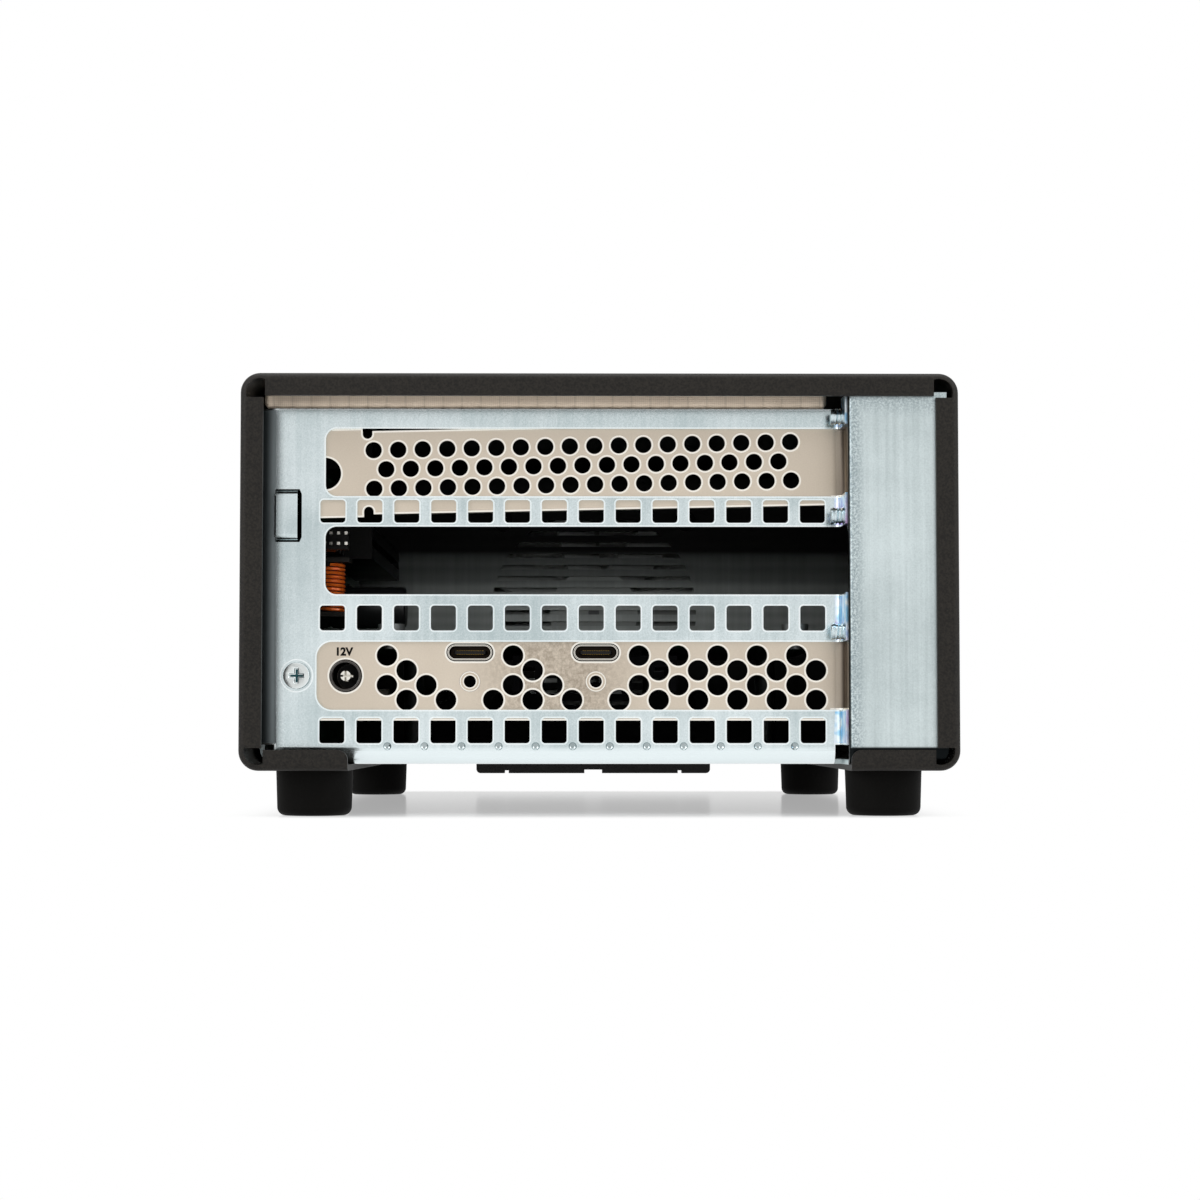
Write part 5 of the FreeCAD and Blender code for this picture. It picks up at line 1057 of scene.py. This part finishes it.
low, high = [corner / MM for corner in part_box("choke_winding")]
foot = (0.5 * (low.x + high.x), 0.5 * (low.y + high.y), low.z + WIRE_RADIUS)
grow("choke_wire", helix_tree, [foot], {
    "Turns": (high.z - low.z) / WIRE_PITCH, "Radius": (CORE_RADIUS + WIRE_RADIUS) * MM,
    "Height": (high.z - low.z - 2 * WIRE_RADIUS) * MM, "Wire Radius": WIRE_RADIUS * MM,
    "Sides": 7, "Steps": 26, "Turn": (0.0, 0.0, 0.0),
}, "enamelled copper", ["choke_winding"])

# %% [markdown]
# ## Contacts and pins
# The card sockets have a row of contacts on either side of their groove, the ports a short row on
# each face of the tongue, and a pin header stands on the backplane just inside the middle slot. All
# of them are straight rows of one blade, so the same tree serves them.

# %% Contacts and pins
CONTACT_PITCH = 1.0
CONTACT_MARGIN = 4.0
CONTACT_DEPTH = 4.4
GROOVE_HALF = 0.78
PORT_CONTACTS = 12
PORT_MARGIN = 0.75
HEADER_LEVELS = (56.9, 59.1)
HEADER_PIN_PITCH = 1.6
SHROUD_PITCH = 2.2
board_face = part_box("backplane")[1].x / MM

for place in ("upper", "middle", "lower"):
    low, high = [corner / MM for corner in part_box(f"slot_connector_{place}")]
    middle = 0.5 * (low.z + high.z)
    grow(f"{place}_contacts", row_tree,
         [(high.x - CONTACT_DEPTH, low.y + CONTACT_MARGIN, middle + side * GROOVE_HALF) for side in (-1, 1)], {
             "Count": int((high.y - low.y - 2 * CONTACT_MARGIN) / CONTACT_PITCH),
             "Offset": mm(0.0, CONTACT_PITCH, 0.0), "Size": mm(4.0, 0.5, 0.18),
         }, "gold contact")

for hand in ("left", "right"):
    low, high = [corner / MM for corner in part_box(f"port_tongue_{hand}")]
    pitch = (high.x - low.x - 2 * PORT_MARGIN) / (PORT_CONTACTS - 1)
    grow(f"port_contacts_{hand}", row_tree,
         [(low.x + PORT_MARGIN, low.y + 1.4, level) for level in (low.z - 0.02, high.z + 0.02)], {
             "Count": PORT_CONTACTS, "Offset": mm(pitch, 0.0, 0.0), "Size": mm(0.26, 2.4, 0.06),
         }, "gold contact")

grow("header_pins", row_tree, [(-56.6, -80.6, level) for level in HEADER_LEVELS], {
    "Count": 3, "Offset": mm(HEADER_PIN_PITCH, 0.0, 0.0), "Size": mm(0.62, 5.2, 0.62),
}, "nickel contact")
grow("header_shroud", row_tree, [(board_face + 0.5 * SHROUD_PITCH, -79.0, level) for level in HEADER_LEVELS], {
    "Count": 4, "Offset": mm(SHROUD_PITCH, 0.0, 0.0), "Size": mm(2.24, 2.6, 2.22),
}, "socket plastic")

# %% [markdown]
# ## Small board parts
# Both boards carry dozens of small block-shaped parts that nobody would place by hand. They are
# strewn over the free fields at random, never closer than a gap, and a seed keeps them the same.

# %% Strewn parts
BACKPLANE_LEVELS = (52.0, 70.0, 24.0)
board_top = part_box("interface_board")[1].z / MM
grow("backplane_passives", scatter_tree, [(board_face + 0.22, -10.0, level) for level in BACKPLANE_LEVELS], {
    "Width": 6.0 * MM, "Depth": 80.0 * MM, "Gap": 3.0 * MM, "Part": mm(0.8, 1.5, 0.7), "Seed": 11,
    "Turn": (0.0, radians(90), 0.0),
}, "chip plastic")
grow("board_passives", scatter_tree, [(18.0, -30.0, board_top + 0.2)], {
    "Width": 46.0 * MM, "Depth": 70.0 * MM, "Gap": 4.2 * MM, "Part": mm(1.5, 0.8, 0.6), "Seed": 23,
    "Turn": (0.0, 0.0, 0.0),
}, "chip plastic")

# %% [markdown]
# ## Storage capacitor
# A tall can stands on the backplane behind the choke and shows as a dark form through the vents of
# the middle row. Its sleeve is shrunk over a crimped can, so a groove near the board and a round
# shoulder at the top show through it. The outline is turned round the can's axis, as on a lathe.

# %% Turned can
CAN_PLACE = (-54.0, 44.6)
CAN_OUTLINE = [(0.0, 4.3), (0.3, 4.6), (1.9, 4.6), (2.4, 4.2), (2.9, 4.2), (3.4, 4.6), (18.5, 4.6),
               (19.1, 4.45), (19.5, 4.0), (19.3, 3.6), (19.2, 0.8)]
CAN_SIDES = 32


def turn_can(name, foot, place, outline, finish):
    """An outline of heights and radii turned round an axis that leaves the backplane along X."""
    shape = bmesh.new()
    angles = [2 * pi * step / CAN_SIDES for step in range(CAN_SIDES)]
    loops = [[shape.verts.new(mm(foot + height, place[0] + radius * cos(angle), place[1] + radius * sin(angle)))
              for angle in angles] for height, radius in outline]
    join_loops(shape, loops)
    return add_skin(name, shape, finish)


turn_can("storage_capacitor", board_face, CAN_PLACE, CAN_OUTLINE, "black can sleeve")

# %% [markdown]
# ## Gasket and filter
# The gasket is foam in a cloth sleeve, squeezed between the panel and the cover, so it bulges a
# little between the pressed lines. The filter behind the grille is a slab of open foam with a
# lumpy skin. Both are drawn as a closed skin round the space that the solid model gives them.

# %% Soft pieces
CORNER_POWER = 5
END_TAPER = 0.8 * MM
END_SIZE = 0.55
LUMPS_X = 2100.0
LUMPS_Z = 1900.0
LUMPS_SKEW = 400.0


def soft_bar(name, node, rings, profile, swell, finish):
    """A bar along X with round corners whose section swells and shrinks along its length."""
    low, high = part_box(node)
    middle, half = 0.5 * (low + high), 0.5 * (high - low)
    shape = bmesh.new()
    loops = []
    for ring in range(rings + 1):
        share = ring / rings
        x = low.x + share * (high.x - low.x)
        inward = min(share, 1.0 - share) * (high.x - low.x)
        taper = min(1.0, END_SIZE + (1.0 - END_SIZE) * inward / END_TAPER)
        size = taper * (1.0 - swell * (0.5 + 0.5 * cos(2 * pi * (x / PRESS_PITCH + PRESS_SHIFT))))
        loop = []
        for step in range(profile):
            y, z = cos(2 * pi * step / profile), sin(2 * pi * step / profile)
            reach = size * (abs(y) ** CORNER_POWER + abs(z) ** CORNER_POWER) ** (-1 / CORNER_POWER)
            loop.append(shape.verts.new((x, middle.y + half.y * reach * y, middle.z + half.z * reach * z)))
        loops.append(loop)
    join_loops(shape, loops)
    add_skin(name, shape, finish, [node])


def foam_slab(name, node, columns, rows, lump, finish):
    """A slab across Y with a lumpy skin on both faces and pinched edges."""
    low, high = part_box(node)
    middle, half = 0.5 * (low + high), 0.5 * (high - low)
    shape = bmesh.new()
    sheets = []
    for side in (-1, 1):
        sheet = {}
        for row in range(rows + 1):
            for column in range(columns + 1):
                x = low.x + column / columns * (high.x - low.x)
                z = low.z + row / rows * (high.z - low.z)
                pinch = END_SIZE if column in (0, columns) or row in (0, rows) else 1.0
                ripples = sin(x * LUMPS_X + side) + sin(z * LUMPS_Z + 2 * side + x * LUMPS_SKEW)
                y = middle.y + side * half.y * pinch * (1.0 - lump * (0.5 + 0.25 * ripples))
                sheet[column, row] = shape.verts.new((x, y, z))
        for row in range(rows):
            for column in range(columns):
                shape.faces.new([sheet[column + right, row + up]
                                 for right, up in ((0, 0), (1, 0), (1, 1), (0, 1))])
        sheets.append(sheet)
    rim = [*((column, 0) for column in range(columns)), *((columns, row) for row in range(rows)),
           *((column, rows) for column in range(columns, 0, -1)), *((0, row) for row in range(rows, 0, -1))]
    for here, after in zip(rim, rim[1:] + rim[:1]):
        shape.faces.new((sheets[0][here], sheets[0][after], sheets[1][after], sheets[1][here]))
    add_skin(name, shape, finish, [node])


soft_bar("gasket_strip", "emi_gasket", 360, 28, 0.035, "gasket cloth")
foam_slab("filter_slab", "dust_filter", 110, 52, 0.16, "filter foam")

# %% [markdown]
# ## Marking
# The supply voltage is printed in black above the power jack. The letters come from a text curve that
# is drawn a little bolder, made a mesh, and laid on the bracket as a layer of ink.

# %% Printed voltage
INK = 0.06
BOLDER = 0.045


def print_words(name, words, centre, width, finish):
    """Letters that face the rear and stand on the bracket with the thickness of a layer of ink."""
    curve = bpy.data.curves.new(name, "FONT")
    curve.body = words
    curve.align_x = "CENTER"
    curve.align_y = "CENTER"
    curve.offset = BOLDER
    curve.extrude = 0.5
    letters = bpy.data.objects.new(name + "_curve", curve)
    scene.collection.objects.link(letters)
    mesh = plain_mesh(letters)
    (left, right), (foot, head) = [[end(vert.co[axis] for vert in mesh.vertices) for end in (min, max)]
                                   for axis in (0, 1)]
    size = width / (right - left)
    stand = Matrix.Translation(mm(*centre)) @ Matrix.Rotation(radians(90), 4, "X")
    scale = Matrix.Diagonal((*mm(size, size, INK), 1.0))
    mesh.transform(stand @ scale @ Matrix.Translation((-0.5 * (left + right), -0.5 * (foot + head), 0.0)))
    dress(mesh, finish)
    return add_piece(name, mesh)


bracket_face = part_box("io_bracket")[0].y / MM
print_words("voltage_print", "12V", (-52.45, bracket_face - 0.4 * INK, 33.67), 3.4, "printed ink")

# %% [markdown]
# ## Light and floor
# The object stands on a white table in soft light from all round. Large lamps to the left, the
# right and above give the bright rims, and the world fills the rest. A low lamp behind the camera
# shines through the open slot onto the bulkhead, as in the photograph. The background is white
# because camera and mirror rays see a world of strength 1, not because there is more light.

# %% Floor, lamps and world
TABLE_HALF = 6.0
SHADED_HALF = mm(56.0, 94.0, 0.0)
SHADE_FADE = mm(0.0, 24.0)


def lay_floor():
    """A wide pale table top with a faint sheen that fades to plain white away from the object."""
    mesh = bpy.data.meshes.new("table_top")
    corners = [(x * TABLE_HALF, y * TABLE_HALF, 0.0) for x, y in ((-1, -1), (1, -1), (1, 1), (-1, 1))]
    mesh.from_pydata(corners, [], [(0, 1, 2, 3)])
    floor = bpy.data.objects.new("table_top", mesh)
    scene.collection.objects.link(floor)
    shader, place = new_finish("white table")
    cloud = grain(place, 3.0, 2.0)
    coat(shader, {
        "Base Color": blended(cloud, (0.93, 0.93, 0.93, 1), (0.96, 0.96, 0.96, 1)),
        "Roughness": 0.16,
    })
    spread = place.node("ShaderNodeVectorMath", {"operation": "ABSOLUTE"}, {0: place})
    over = place.node("ShaderNodeVectorMath", {"operation": "SUBTRACT"}, {0: spread, 1: SHADED_HALF})
    clear = place.node("ShaderNodeVectorMath", {"operation": "MAXIMUM"}, {0: over, 1: (0.0, 0.0, 0.0)})
    away = place.node("ShaderNodeVectorMath", {"operation": "LENGTH"}, {0: clear}, out="Value")
    tree = finishes["white table"].node_tree
    seen = Field(tree).node("ShaderNodeLightPath", out="Is Camera Ray")
    mirrored = Field(tree, seen.socket.node.outputs["Is Glossy Ray"])
    plain = seen * (0.36 + 0.64 * away.smooth(*SHADE_FADE)) + 0.85 * mirrored
    glow = seen.node("ShaderNodeEmission", {}, {"Color": (1, 1, 1, 1), "Strength": 1.0}, out="Emission")
    lit = Field(tree, shader.outputs["BSDF"])
    both = seen.node("ShaderNodeMixShader", {}, {0: plain, 1: lit, 2: glow}, out="Shader")
    tree.links.new(both.socket, tree.nodes["Material Output"].inputs["Surface"])
    dress(mesh, "white table")


def hang_lamp(name, place, aim, width, height, watts, mirrored=True):
    """A large soft lamp that faces a point and may be kept out of mirror images."""
    data = bpy.data.lights.new(name, "AREA")
    data.shape = "RECTANGLE"
    data.size = width
    data.size_y = height
    data.energy = watts
    lamp = bpy.data.objects.new(name, data)
    lamp.visible_glossy = mirrored
    lamp.location = place
    lamp.rotation_euler = (Vector(aim) - Vector(place)).to_track_quat("-Z", "Y").to_euler()
    scene.collection.objects.link(lamp)


def make_world():
    """Even white world, dimmer for diffuse light than it looks to the camera."""
    world = bpy.data.worlds.new("studio")
    scene.world = world
    world.use_nodes = True
    tree = world.node_tree
    rays = Field(tree).node("ShaderNodeLightPath", out="Is Camera Ray")
    outputs = rays.socket.node.outputs
    seen = rays + Field(tree, outputs["Is Transmission Ray"])
    shiny = Field(tree, outputs["Is Glossy Ray"])
    level = 0.42 + 0.58 * seen + 0.46 * shiny
    back = tree.nodes["Background"]
    back.inputs["Color"].default_value = (1, 1, 1, 1)
    tree.links.new(level.socket, back.inputs["Strength"])


lay_floor()
hang_lamp("left_softbox", (-1.1, -0.9, 0.7), (0, 0, 0.05), 0.9, 0.9, 9.0)
hang_lamp("right_softbox", (1.1, -0.7, 0.6), (0, 0, 0.05), 0.8, 0.9, 6.0)
hang_lamp("low_softbox", (0.0, -1.6, 0.16), (0, 0, 0.05), 0.8, 0.32, 9.0, False)
hang_lamp("overhead_softbox", (0.0, -0.1, 1.2), (0, 0, 0), 1.2, 1.0, 9.0)
make_world()
print("lamps:", len(bpy.data.lights))
